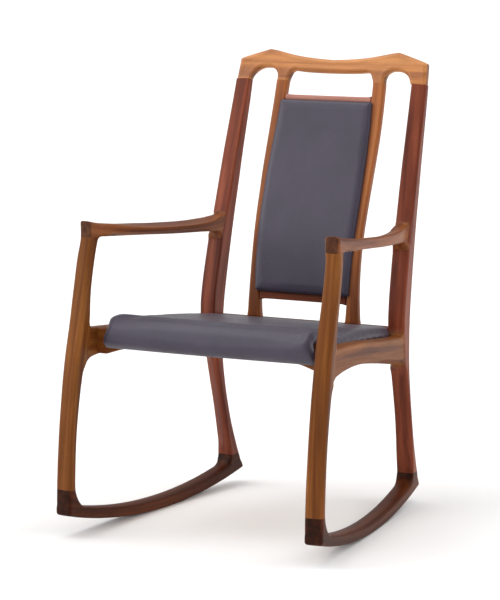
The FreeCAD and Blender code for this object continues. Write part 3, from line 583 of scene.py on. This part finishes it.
def side_field(x, y, z):
    """The whole right side frame as one solid."""
    along = y * math.cos(TOE_IN)
    height = z
    leg_front = beyond(LEG_FRONT, height, along)
    leg_back = beyond(LEG_BACK, height, along)
    post_front = beyond(POST_FRONT, height, along)
    post_back = beyond(POST_BACK, height, along)
    arm_top = beyond(ARM_TOP, along, height)
    arm_bottom = beyond(ARM_BOTTOM, along, height)
    rail_top = beyond(RAIL_TOP, along, height)
    rail_bottom = beyond(RAIL_BOTTOM, along, height)
    under = rocker_distance(along, height, 0)
    over = -rocker_distance(along, height, ROCKER_THICKNESS)

    # The openings above and below the rail, and the outline around them
    upper = rounded_both(np.maximum(-leg_back, post_front), np.maximum(-rail_top, arm_bottom),
                         corner_rounding(along, height, UPPER_FRONT_CORNERS, UPPER_REAR_CORNERS))
    lower = rounded_both(np.maximum(-leg_back, post_front), np.maximum(-over, rail_bottom),
                         corner_rounding(along, height, LOWER_FRONT_CORNERS, LOWER_REAR_CORNERS))
    above_arm = rounded_both(-arm_top, post_front, ARM_TO_POST_CORNER)
    toe = rounded_both(-leg_front, under, TOE_CORNER)
    shell = np.maximum(np.maximum(toe, post_back), -above_arm)
    profile = np.maximum(shell, np.maximum(-upper, -lower))

    # How much each member shares in a place near a joint
    members = {
        "leg": np.maximum(-leg_front, leg_back),
        "post": np.maximum(-post_front, post_back),
        "arm": np.maximum(np.maximum(-arm_bottom, arm_top), post_front),
        "rail": np.maximum(np.maximum(-rail_bottom, rail_top), np.maximum(post_front, -leg_back)),
        "rocker": np.maximum(under, over),
    }
    shares = {name: (np.maximum(distance, 0) + BLEND_REACH)**-3
              for name, distance in members.items()}
    total = sum(shares.values())

    def blend(**values):
        return sum(shares[name] * value for name, value in values.items()) / total

    inset = blend(leg=LEG_INSET(height), post=POST_INSET(height), arm=ARM_INSET(along),
                  rail=RAIL_INSET, rocker=ROCKER_INSET)
    width = blend(leg=LEG_WIDTH(height), post=POST_WIDTH(height),
                  arm=ARM_WIDTH(along) - ARM_INSET(along), rail=RAIL_WIDTH, rocker=ROCKER_WIDTH)
    edge = blend(**EDGES)
    crown = blend(**CROWNS)
    top_crown = blend(rocker=ROCKER_TOP_CROWN) * fade(-over, 14, 2)

    middle = -inset - 0.5 * width
    across = (x - middle) / (0.5 * width)
    bulged = profile + (crown + top_crown) * across**2
    side = np.abs(x - middle) - 0.5 * width
    solid = rounded_both(bulged, side, edge)

    # A facet along the outer edge under the rail that runs down the rear post's front
    outer = x + inset
    rear = fade(along, MIDWAY, 430)
    down = fade(height, 330, 290)
    depth = REAR_FACET_DEPTH * rear * fade(height, 60, 110)
    slope = (RAIL_FACET_DEGREES - POST_FACET_TURN * down) * math.pi / 180
    facet = (-lower) * np.cos(slope) + outer * np.sin(slope) + depth
    solid = np.maximum(solid, np.where(lower > -FACET_REACH, facet, FAR_INSIDE))

    # The arm's top slopes down to its inner edge, most of all towards the back
    lean = ARM_LEAN * fade(along, 130, 330) * fade(along, 585, 540)
    bank = arm_top - lean * x
    solid = np.maximum(solid, np.where((height > 600) & (along < 575), bank, FAR_INSIDE))

    # Facets along both lower edges of the arm
    inner = -x - inset - width
    reach = fade(along, 120, 180) * fade(along, 560, 500)
    near_arm = (height > 540) & (upper > -FACET_REACH)
    for face, depth in ((outer, ARM_OUTER_FACET), (inner, ARM_INNER_FACET)):
        facet = (-upper + face) * math.sqrt(0.5) + depth * reach
        solid = np.maximum(solid, np.where(near_arm, facet, FAR_INSIDE))
    return solid


SIDE_WOODS = {"rocker": ROCKER_WOOD, "front_leg": LEG_WOOD, "rear_post": POST_WOOD,
              "arm": ARM_WOOD, "side_rail": RAIL_WOOD}
ROCKER, LEG, POST, ARM, RAIL = range(len(SIDE_WOODS))


def side_kinds(centres):
    """Which piece of the side frame a face belongs to, by its number in SIDE_WOODS."""
    along, height = centres[:, 1], centres[:, 2]
    front = along < MIDWAY
    kinds = np.full(len(centres), LEG)
    kinds[front & (height < ROCKER_FRONT_JOINT[1])] = ROCKER
    kinds[~front & (height < ROCKER_REAR_JOINT[1])] = ROCKER
    kinds[~front & (height >= ROCKER_REAR_JOINT[1])] = POST
    kinds[front & (height >= ARM_FRONT_JOINT[1])] = ARM
    kinds[(height > ARM_SEAM[0][1]) & (height < ARM_SEAM[1][1]) & (along > MIDWAY)
          & (beyond_seam(along, height, ARM_SEAM) < 0)] = ARM
    kinds[(height > 560) & (along > 180) & (along < 555)] = ARM
    is_rail = ((height > POST_SEAM[0][1]) & (height < LEG_SEAM[1][1])
               & ((height < POST_SEAM[1][1]) | (along < 450))
               & (beyond_seam(along, height, LEG_SEAM) > 0)
               & (beyond_seam(along, height, POST_SEAM) < 0))
    kinds[is_rail] = RAIL
    return kinds


def beyond_seam(along, height, seam):
    """Distance behind a joint line."""
    (y0, z0), (y1, z1) = seam
    length = math.hypot(y1 - y0, z1 - z0)
    return ((along - y0) * (z1 - z0) - (height - z0) * (y1 - y0)) / length


def side_box(first, last, beside, above):
    """The box across the side frame around two (along, height) places, with margins."""
    low = (-60, min(first[0], last[0]) - beside, first[1] - above)
    high = (20, max(first[0], last[0]) + beside, last[1] + above)
    return low, high


def seam_cut(seam):
    """A joint line as a local cut."""
    (y0, z0), (y1, z1) = seam
    return (0, y0, z0), (0, z1 - z0, y0 - y1), side_box(*seam, beside=30, above=25)


def level_cut(place):
    """A level cut through the side frame close to one place."""
    return (0, 0, place[1]), (0, 0, 1), side_box(place, place, beside=40, above=14)


def make_side_frames():
    x, y, z = grid(SIDE_LOW, SIDE_HIGH, SIDE_STEP)
    points, faces = zero_surface(side_field(x, y, z), SIDE_LOW, SIDE_STEP)
    levels = (ROCKER_FRONT_JOINT, ROCKER_REAR_JOINT, ARM_FRONT_JOINT)
    seams = [level_cut(place) for place in levels]
    seams += [seam_cut(seam) for seam in (LEG_SEAM, POST_SEAM, ARM_SEAM)]
    seams += [level_cut(place) for place in POST_SEAM + ARM_SEAM]
    pieces = split(points, faces, seams, side_kinds, SIDE_WOODS)
    for name, (own_points, own_faces) in pieces.items():
        grain = side_grain(name, own_points)
        placed = side_to_chair(own_points)
        if name == "rear_post":
            placed, own_faces, grain = trim_under_crest(placed, own_faces, grain)
        new_pair(name, placed, own_faces, SIDE_WOODS[name], grain, SIDE_GRAIN_SHIFT)


def side_grain(name, points):
    """Grain coordinates: along the member first, then across it."""
    x, y, z = points.T
    if name in ("front_leg", "rear_post"):
        front = LEG_FRONT(z) if name == "front_leg" else POST_BACK(z)
        return np.stack([z, x, y * math.cos(TOE_IN) - front], axis=1)
    if name == "rocker":
        angle = np.arctan2(y - ROCKER_LOWEST, ROCKER_RADIUS - z)
        return np.stack([angle * ROCKER_RADIUS, x, rocker_distance(y, z, 0)], axis=1)
    line = ARM_TOP if name == "arm" else RAIL_TOP
    return np.stack([y, x, z - line(y)], axis=1)


def trim_under_crest(points, faces, grain):
    """Cuts a rear post or stile at the plane where the crest rail begins."""
    work = to_bmesh(points.tolist(), faces)
    layers = [work.verts.layers.float.new(f"grain{axis}") for axis in range(3)]
    work.verts.ensure_lookup_table()
    for vert, own in zip(work.verts, grain):
        for layer, value in zip(layers, own):
            vert[layer] = value
    geometry = list(work.verts) + list(work.edges) + list(work.faces)
    bmesh.ops.bisect_plane(work, geom=geometry, dist=CUT_SNAP, clear_outer=True,
                           plane_co=(0, CREST_ALONG - HALF_DEPTH, CREST_HEIGHT),
                           plane_no=(0, math.sin(RECLINE), math.cos(RECLINE)))
    close_holes(work)
    work.verts.index_update()
    points = np.array([vert.co for vert in work.verts])
    grain = np.array([[vert[layer] for layer in layers] for vert in work.verts])
    faces = [[vert.index for vert in face.verts] for face in work.faces]
    work.free()
    return points, faces, grain


# ---------------- crest rail

CREST_TOP_OUTER = curve((159, 72.5), (175, 67.6), (189, 63.2), (207, 57.4), (220, 53), (236, 47))
CREST_TOP_INNER = curve((0, 51), (41, 53.5), (70, 56.3), (88, 58.8), (106, 62), (125, 66.0),
                        (142, 69.6), (159, 72.5))
CREST_OUTER = curve((-40, 236), (0, 235), (48, 232), (80, 230))
CREST_CEILING = curve((0, 20), (40, 20.5), (70, 21.8), (95, 24.5), (120, 28))
CREST_STILE = curve((-40, 106), (-10, 105.4), (4, 103), (14, 99.5), (26, 94))
CREST_SLOT_TOP = 29.0
CREST_SLOT_INNER = 134.0
CREST_SLOT_OUTER = 197.5
CREST_PEAK = 159.0                # across: the highest place, where the two top lines meet
CREST_HALF_WIDTH = 235.0
CREST_HALF_THICKNESS = 12.0
CREST_THINNER_POST, CREST_THINNER_STILE = 2.6, 2.0
CREST_EDGE = 8.5
CREST_SHARPER_POST, CREST_SHARPER_STILE = 4.0, 3.5
CREST_CROWN = 2.5
CREST_DISH = 1.2
CREST_STEP = 1.6
CREST_LOW, CREST_HIGH = (-240, -16, -6), (240, 16, 78)


def crest_field(x, y, z):
    """The crest rail in its own plane, with stubs that run below the joints at z = 0."""
    across = np.abs(x)
    top = np.where(across > CREST_PEAK, beyond(CREST_TOP_OUTER, across, z),
                   beyond(CREST_TOP_INNER, across, z))
    outer = beyond(CREST_OUTER, z, across)
    middle_gap = rounded_both(beyond(CREST_STILE, z, across), beyond(CREST_CEILING, across, z), 7)
    slot = np.maximum(rounded_both(CREST_SLOT_INNER - across, z - CREST_SLOT_TOP, 21),
                      rounded_both(across - CREST_SLOT_OUTER, z - CREST_SLOT_TOP, 36))
    profile = np.maximum(rounded_both(top, outer, 3), np.maximum(-middle_gap, -slot))

    # The stubs are thinner and sharper, and the outer ones turn to meet the posts
    near_post = fade(across, 175, 199)
    thin = fade(z, 34, 0)
    thinner = CREST_THINNER_POST * near_post + CREST_THINNER_STILE * (1 - near_post)
    half_thickness = CREST_HALF_THICKNESS - thin * thinner
    shift = thin * near_post * (math.tan(TOE_IN) * (across - CREST_HALF_WIDTH) - 0.5)
    edge = (CREST_EDGE - CREST_SHARPER_POST * thin * near_post
            - CREST_SHARPER_STILE * thin * (1 - near_post))
    depth = (y - shift) / half_thickness
    bulged = profile + CREST_CROWN * depth**2
    face = np.abs(y - shift) - half_thickness
    dish = CREST_DISH * fade(profile, -6, -16) * (1 - thin)
    return rounded_both(bulged, face + dish, edge)


def make_crest():
    x, y, z = grid(CREST_LOW, CREST_HIGH, CREST_STEP)
    points, faces = zero_surface(crest_field(x, y, z), CREST_LOW, CREST_STEP)
    joints = ((0, 0, 0), (0, 0, 1), ((-260, -30, -10), (260, 30, 6)))
    pieces = split(points, faces, [joints], lambda centres: (centres[:, 2] < 0).astype(int),
                   ["crest", "below"])
    own_points, own_faces = pieces["crest"]
    new_piece("crest_rail_sculpted", crest_to_chair(own_points), own_faces, CREST_WOOD,
              "crest_wood", ["crest_rail"], own_points)


# ---------------- back panel frame

BACK_LINE = curve((408, 558), (480, 562), (590, 581), (711, 622), (844, 673), (945, 704))
STILE_INNER = curve((405, 102.5), (420, 104.8), (440, 106), (890, 106), (915, 105.6),
                    (940, 104.8))
STILE_OUTER = curve((405, 139.5), (420, 137.2), (440, 136), (840, 136), (940, 134))
STILE_FOOT = 408.0
STILE_HALF_DEPTH = 10.0
STILE_CROWN = 1.0
STILE_EDGE = 4.5
STILE_LOW, STILE_HIGH = (98, -12, 402), (144, 12, 942)
STILE_GRAIN_SHIFT = (500, 70, 30)
PANEL_HALF_WIDTH = 106.0          # between the stiles
PANEL_RAIL_SETBACK = 0.6          # from the stiles' faces
PANEL_RAIL_EDGE = 4.0
FLARE_HEIGHT, FLARE_LENGTH = 3.0, 5.0
BACK_STEP = 1.6


def back_to_chair(points):
    """Bends a flat back (across, depth, height) along the line of the chair's back."""
    x, y, z = points.T
    lean = np.arctan(0.5 * (BACK_LINE(z + 1) - BACK_LINE(z - 1)))
    along = BACK_LINE(z) - HALF_DEPTH + y * np.cos(lean)
    return np.stack([x, along, z - y * np.sin(lean)], axis=1)


def make_stiles():
    x, y, z = grid(STILE_LOW, STILE_HIGH, BACK_STEP)
    profile = np.maximum(-beyond(STILE_INNER, z, x), beyond(STILE_OUTER, z, x))
    profile = np.maximum(profile, STILE_FOOT - z)
    bulged = profile + STILE_CROWN * (y / STILE_HALF_DEPTH)**2
    field = rounded_both(bulged, np.abs(y) - STILE_HALF_DEPTH, STILE_EDGE)
    points, faces = zero_surface(field, STILE_LOW, BACK_STEP)
    grain = np.stack([points[:, 2], points[:, 0], points[:, 1]], axis=1)
    placed, faces, grain = trim_under_crest(back_to_chair(points), faces.tolist(), grain)
    new_pair("stile", placed, faces, STILE_WOOD, grain, STILE_GRAIN_SHIFT)


def make_panel_rail(name, material, bottom, top, flare_up):
    """A cross rail between the stiles, with small flares into its corners."""
    low, high = (-108, -12, bottom - 10), (108, 12, top + 10)
    x, y, z = grid(low, high, BACK_STEP)
    to_stile = PANEL_HALF_WIDTH - np.minimum(np.abs(x), PANEL_HALF_WIDTH)
    flare = FLARE_HEIGHT * np.exp(-to_stile / FLARE_LENGTH)
    upper = z - top - (flare if flare_up else 0)
    lower = bottom - z - (0 if flare_up else flare)
    face = np.abs(y) - STILE_HALF_DEPTH + PANEL_RAIL_SETBACK
    rail = rounded_both(np.maximum(upper, lower) + 0 * y, face, PANEL_RAIL_EDGE)
    points, faces = zero_surface(np.maximum(rail, np.abs(x) - PANEL_HALF_WIDTH), low, BACK_STEP)
    new_piece(f"{name}_sculpted", back_to_chair(points), faces.tolist(), material, "panel_wood",
              [name], points)


# ---------------- front seat rail

FRONT_RAIL_FACE, FRONT_RAIL_BACK = 102.0, 126.0
FRONT_RAIL_TOP = 438.0
FRONT_RAIL_END_BOTTOM = 383.0     # underside at the legs
ARCH_RISE = 21.0
ARCH_HALF_SPAN = 250.0
ARCH_SWEEP = 45.0                 # how far in from its ends the arch does most of its rise
FRONT_RAIL_BITE = 8.0             # how far its ends run into the side rails
FRONT_RAIL_LOW, FRONT_RAIL_HIGH = (-292, 98, 380), (292, 130, 444)


def make_front_rail():
    """The cross rail under the front of the seat, arched underneath."""
    x, y, z = grid(FRONT_RAIL_LOW, FRONT_RAIL_HIGH, SIDE_STEP)
    reach = np.clip((ARCH_HALF_SPAN - np.abs(x)) / ARCH_SWEEP, 0, None)
    arch = FRONT_RAIL_END_BOTTOM + ARCH_RISE * (1 - np.exp(-reach**1.3))
    profile = np.maximum(z - FRONT_RAIL_TOP, arch - z)
    depth = np.maximum(FRONT_RAIL_FACE - y, y - FRONT_RAIL_BACK)
    field = rounded_both(profile + 0 * y, depth, 5)
    end_inset = (RAIL_INSET + RAIL_WIDTH - FRONT_RAIL_BITE) / math.cos(TOE_IN)
    end = TOE_HALF_WIDTH - math.tan(TOE_IN) * y - end_inset
    field = np.maximum(field, np.abs(x) - end)
    points, faces = zero_surface(field, FRONT_RAIL_LOW, SIDE_STEP)
    placed = points - np.array([0, HALF_DEPTH, 0])
    new_piece("front_seat_rail_sculpted", placed, faces.tolist(), RAIL_WOOD, "frame_wood",
              ["front_seat_rail"], points)


# ---------------- upholstery

SEAT_TOP = curve((78, 458), (112, 463.5), (150, 460), (250, 450), (400, 433.5), (500, 420.5),
                 (540, 415))
SEAT_REST = curve((101, 436), (126, 431), (165, 427), (335, 410.5), (500, 391), (540, 386))
SEAT_HALF_WIDTH = curve((70, 253), (101, 254), (116, 256), (130, 261), (165, 264), (335, 248.5),
                        (450, 235), (540, 225))
SEAT_BACK = 540.0
SEAT_BACK_EDGE, SEAT_BACK_CORNER = 9.0, 30.0
NOSE_CENTRE = (112.0, 428.5)      # (along, height)
NOSE_RADIUS = 37.0
NOSE_BACK = 101.5                 # the nose hangs in front of the rail's face
NOSE_BLEND = 16.0                 # how gently the nose runs into the top
SEAT_SHIFT = 2.5                  # the cushion sits a little to the right
SEAT_STEP = 5.0
SEAT_LOW, SEAT_HIGH = (-275, 66, 388), (275, 546, 484)
SEAT_TUCK = 2.0                   # drawn this much smaller before it swells
SEAT_PRESSURE, SEAT_SWELL = 2.5, 4.0
SEAT_SMOOTHING = 14


def seat_field(x, y, z):
    """Leather over foam: a rolled nose in front of the rail, thinner to the back."""
    nose = np.hypot(y - NOSE_CENTRE[0], z - NOSE_CENTRE[1]) - NOSE_RADIUS
    nose = np.maximum(nose, np.minimum(y - NOSE_BACK, FRONT_RAIL_TOP - 2 - z))
    slab = np.maximum(beyond(SEAT_TOP, y, z), -beyond(SEAT_REST, y, z))
    slab = np.maximum(rounded_both(slab, y - SEAT_BACK, SEAT_BACK_EDGE), NOSE_BACK - y)
    gap = np.clip(NOSE_BLEND - np.abs(nose - slab), 0, None)
    blend = np.where(z > FRONT_RAIL_TOP + 2, gap**2 / (4 * NOSE_BLEND), 0)
    profile = np.minimum(nose, slab) - blend
    outline = rounded_both(np.abs(x) - SEAT_HALF_WIDTH(y), y - SEAT_BACK, SEAT_BACK_CORNER)

    # The upper edge is rounder than the lower one, and the nose's end is its own shape
    at_nose = fade(y, 150, 110)
    over_rail = 3 + (28 - 12 * fade(y, 200, 480)) * fade(z - SEAT_REST(y), 3, 16)
    over_nose = 11 + 18 * fade(z, 404, 440)
    corner = at_nose * over_nose + (1 - at_nose) * over_rail
    return rounded_both(profile + 0 * x, outline, corner)


GRID_SMOOTHING = 3                # rounds that hide the grid's steps
CLOTH_FRAMES = 20
CLOTH_SETTINGS = {
    "quality": 6, "mass": 0.25, "use_pressure": True, "vertex_group_mass": "held",
    "tension_stiffness": 22, "compression_stiffness": 14, "shear_stiffness": 8,
    "bending_stiffness": 3.5,
}


def swell(points, faces, held, pressure, most):
    """Inflates a closed cloth and returns its points, none moved by more than most.

    Held is how firmly each point stays, from 0 to 1."""
    mesh = bpy.data.meshes.new("cloth")
    mesh.from_pydata((points * MM).tolist(), [], faces)
    cloth_object = bpy.data.objects.new("cloth", mesh)
    bpy.context.collection.objects.link(cloth_object)
    pins = cloth_object.vertex_groups.new(name="held")
    for index in np.flatnonzero(held > 0.01):
        pins.add([int(index)], float(held[index]), "REPLACE")
    modifier = cloth_object.modifiers.new("Cloth", "CLOTH")
    for key, value in CLOTH_SETTINGS.items():
        setattr(modifier.settings, key, value)
    modifier.settings.uniform_pressure_force = pressure
    modifier.settings.effector_weights.gravity = 0
    modifier.collision_settings.use_collision = False
    modifier.point_cache.frame_end = CLOTH_FRAMES
    scene = bpy.context.scene
    for number in range(1, CLOTH_FRAMES + 1):
        scene.frame_set(number)
    graph = bpy.context.evaluated_depsgraph_get()
    shaped = cloth_object.evaluated_get(graph).to_mesh()
    moved = np.empty(len(points) * 3, np.float32)
    shaped.vertices.foreach_get("co", moved)
    moved = moved.reshape(-1, 3) / MM - points
    bpy.data.objects.remove(cloth_object)
    scene.frame_set(1)
    length = np.linalg.norm(moved, axis=1, keepdims=True)
    return points + moved * np.minimum(1, most / np.maximum(length, 1e-6))


def relax(points, faces, rounds):
    """Evens out a mesh of four-sided faces, and keeps its volume: each point moves to the
    middle of its neighbours, then back by a little more."""
    pairs = np.concatenate([np.stack([faces[:, i], faces[:, (i + 1) % 4]], 1) for i in range(4)])
    pairs = np.concatenate([pairs, pairs[:, ::-1]])
    count = np.bincount(pairs[:, 0], minlength=len(points))[:, None]
    for _ in range(rounds):
        for amount in (0.5, -0.52):
            total = np.stack([np.bincount(pairs[:, 0], points[pairs[:, 1], axis], len(points))
                              for axis in range(3)], 1)
            points = points + amount * (total / np.maximum(count, 1) - points)
    return points


def make_seat_cushion():
    x, y, z = grid(SEAT_LOW, SEAT_HIGH, SEAT_STEP)
    points, faces = zero_surface(seat_field(x, y, z) + SEAT_TUCK, SEAT_LOW, SEAT_STEP)
    points = relax(points, faces, GRID_SMOOTHING)
    # The underside is held on the seat board, and the nose's back on the front rail
    along, height = points[:, 1], points[:, 2]
    rest = SEAT_REST(along)
    held = fade(height, rest + 4, rest + 1) * (along > 104)
    held = np.maximum(held, fade(along, 97, 101) * (height < 440))
    points = swell(points, faces.tolist(), held, SEAT_PRESSURE, SEAT_SWELL)
    points = relax(points, faces, SEAT_SMOOTHING)
    cushion = new_piece("seat_cushion_leather", points + np.array([SEAT_SHIFT, -HALF_DEPTH, 0]),
                        faces.tolist(), LEATHER, "upholstery_leather", ["seat_cushion"])
    smooth = cushion.modifiers.new("Smooth", "SUBSURF")
    smooth.levels = 1
    smooth.render_levels = 1


PAD_STEP = 3.0
PAD_HALF_WIDTH = curve((460, 114), (480, 115.5), (560, 118), (680, 120), (800, 117.5),
                       (880, 113.5), (890, 113))
PAD_BOTTOM, PAD_TOP = 469.5, 888.5
PAD_BACK, PAD_FRONT = -8.5, -21.0
PAD_CORNER = 4.0
PAD_EDGE = 8.0
PAD_LOW, PAD_HIGH = (-128, -30, 464), (128, -4, 896)
PAD_PRESSURE, PAD_SWELL = 0.8, 1.5
PAD_SMOOTHING = 4


def make_back_cushion():
    """The thin pad on the back board, shaped flat and bent with the back."""
    x, y, z = grid(PAD_LOW, PAD_HIGH, PAD_STEP)
    outline = rounded_both(np.abs(x) - PAD_HALF_WIDTH(z),
                           np.maximum(PAD_BOTTOM - z, z - PAD_TOP), PAD_CORNER)
    front = rounded_both(outline + 0 * y, PAD_FRONT - y, PAD_EDGE)
    points, faces = zero_surface(np.maximum(front, y - PAD_BACK), PAD_LOW, PAD_STEP)
    points = relax(points, faces, GRID_SMOOTHING)
    held = fade(points[:, 1], PAD_BACK - 3, PAD_BACK - 0.5)
    points = swell(points, faces.tolist(), held, PAD_PRESSURE, PAD_SWELL)
    points = relax(points, faces, PAD_SMOOTHING)
    pad = new_piece("back_cushion_leather", back_to_chair(points), faces.tolist(), LEATHER,
                    "upholstery_leather", ["back_cushion"])


# ---------------- pieces kept from CAD

def finish_cad_pieces():
    """Better materials on the pieces whose shape is already right."""
    looks = {BACK_BOARD_WOOD: ["back_panel_board"],
             BOARD_WOOD: ["seat_board", "corner_blocks"],
             PANEL_WOOD: ["rear_seat_rail"],
             DOWEL_WOOD: ["rocker_dowels", "arm_dowels", "seat_rail_dowels", "crest_dowels",
                          "back_frame_dowels"],
             SCREW_STEEL: ["corner_block_screws", "seat_board_screws"]}
    for material, nodes in looks.items():
        for name in nodes:
            for slot in frame["nodes"][name].material_slots:
                slot.material = material


# ---------------- stage

FLOOR_REACH = 80.0                # metres


def make_stage():
    floor_mesh = bpy.data.meshes.new("floor")
    corners = [(-FLOOR_REACH, -FLOOR_REACH, 0), (FLOOR_REACH, -FLOOR_REACH, 0),
               (FLOOR_REACH, FLOOR_REACH, 0), (-FLOOR_REACH, FLOOR_REACH, 0)]
    floor_mesh.from_pydata(corners, [], [(0, 1, 2, 3)])
    floor = bpy.data.objects.new("floor", floor_mesh)
    bpy.context.collection.objects.link(floor)
    material, _, shader = new_material("studio floor")
    shader.inputs["Base Color"].default_value = (0.93, 0.93, 0.93, 1)
    shader.inputs["Roughness"].default_value = 0.9
    shader.inputs["Specular IOR Level"].default_value = 0.1
    floor_mesh.materials.append(material)


# Soft light of the studio: (direction it comes from, how tightly it is gathered, strength)
LIGHT_BASE = 0.42
LIGHT_LOBES = [
    ((0.0, 0.1, 1.0), 3.0, 0.95),
    ((-0.44, -0.20, 0.86), 40.0, 4.2),
    ((-0.92, -0.45, 0.36), 16.0, 3.0),
    ((-0.44, -0.80, 0.40), 14.0, 1.5),
    ((0.88, 0.30, 0.42), 14.0, 3.2),
]


def make_light():
    """A dim surround with a broad light overhead and soft ones to the sides and the front.

    The camera itself sees a white background."""
    world = bpy.data.worlds.new("studio")
    world.use_nodes = True
    tree = world.node_tree
    direction = node(tree, "ShaderNodeTexCoord").outputs["Generated"]
    total = LIGHT_BASE
    for toward, gather, strength in LIGHT_LOBES:
        facing = vector_math(tree, "DOT_PRODUCT", direction, Vector(toward).normalized())
        lobe = math_node(tree, "MAXIMUM", facing["Value"], 0.0)
        lobe = math_node(tree, "POWER", lobe, gather)
        total = math_node(tree, "ADD", total, math_node(tree, "MULTIPLY", lobe, strength))
    background = tree.nodes["Background"]
    background.inputs["Color"].default_value = (1, 1, 1, 1)
    seen = node(tree, "ShaderNodeLightPath").outputs["Is Camera Ray"]
    total = math_node(tree, "MAXIMUM", total, seen)
    tree.links.new(total, background.inputs["Strength"])
    bpy.context.scene.world = world


CAMERA_PLACE = (2.5756, -5.1865, 1.3635)
CAMERA_YAW = -0.46628622          # radians, from straight back towards the right
CAMERA_PITCH = 0.15115330         # radians, downwards
CAMERA_LENS = 108.0


def make_camera():
    """The photograph's camera, as solved from the chair's mirror-symmetric points."""
    data = bpy.data.cameras.new("camera")
    data.sensor_fit = "VERTICAL"
    data.sensor_height = 24.0
    data.lens = CAMERA_LENS
    data.clip_end = 200.0
    camera = bpy.data.objects.new("camera", data)
    camera.location = CAMERA_PLACE
    level = math.cos(CAMERA_PITCH)
    forward = Vector((math.sin(CAMERA_YAW) * level, math.cos(CAMERA_YAW) * level,
                      -math.sin(CAMERA_PITCH)))
    camera.rotation_euler = forward.to_track_quat("-Z", "Y").to_euler()
    bpy.context.collection.objects.link(camera)
    bpy.context.scene.camera = camera
    bpy.context.scene.view_settings.view_transform = "Standard"


make_camera()
make_stage()
make_light()
make_side_frames()
make_crest()
make_stiles()
# The top rail takes the lighter panel wood, whose colour is a painted reflection
make_panel_rail("panel_top_rail", PANEL_TOP_REFLECTION_WOOD, 888, 901, flare_up=True)
make_panel_rail("panel_bottom_rail", PANEL_WOOD, 452, 471, flare_up=False)
make_front_rail()
make_back_cushion()
make_seat_cushion()
finish_cad_pieces()
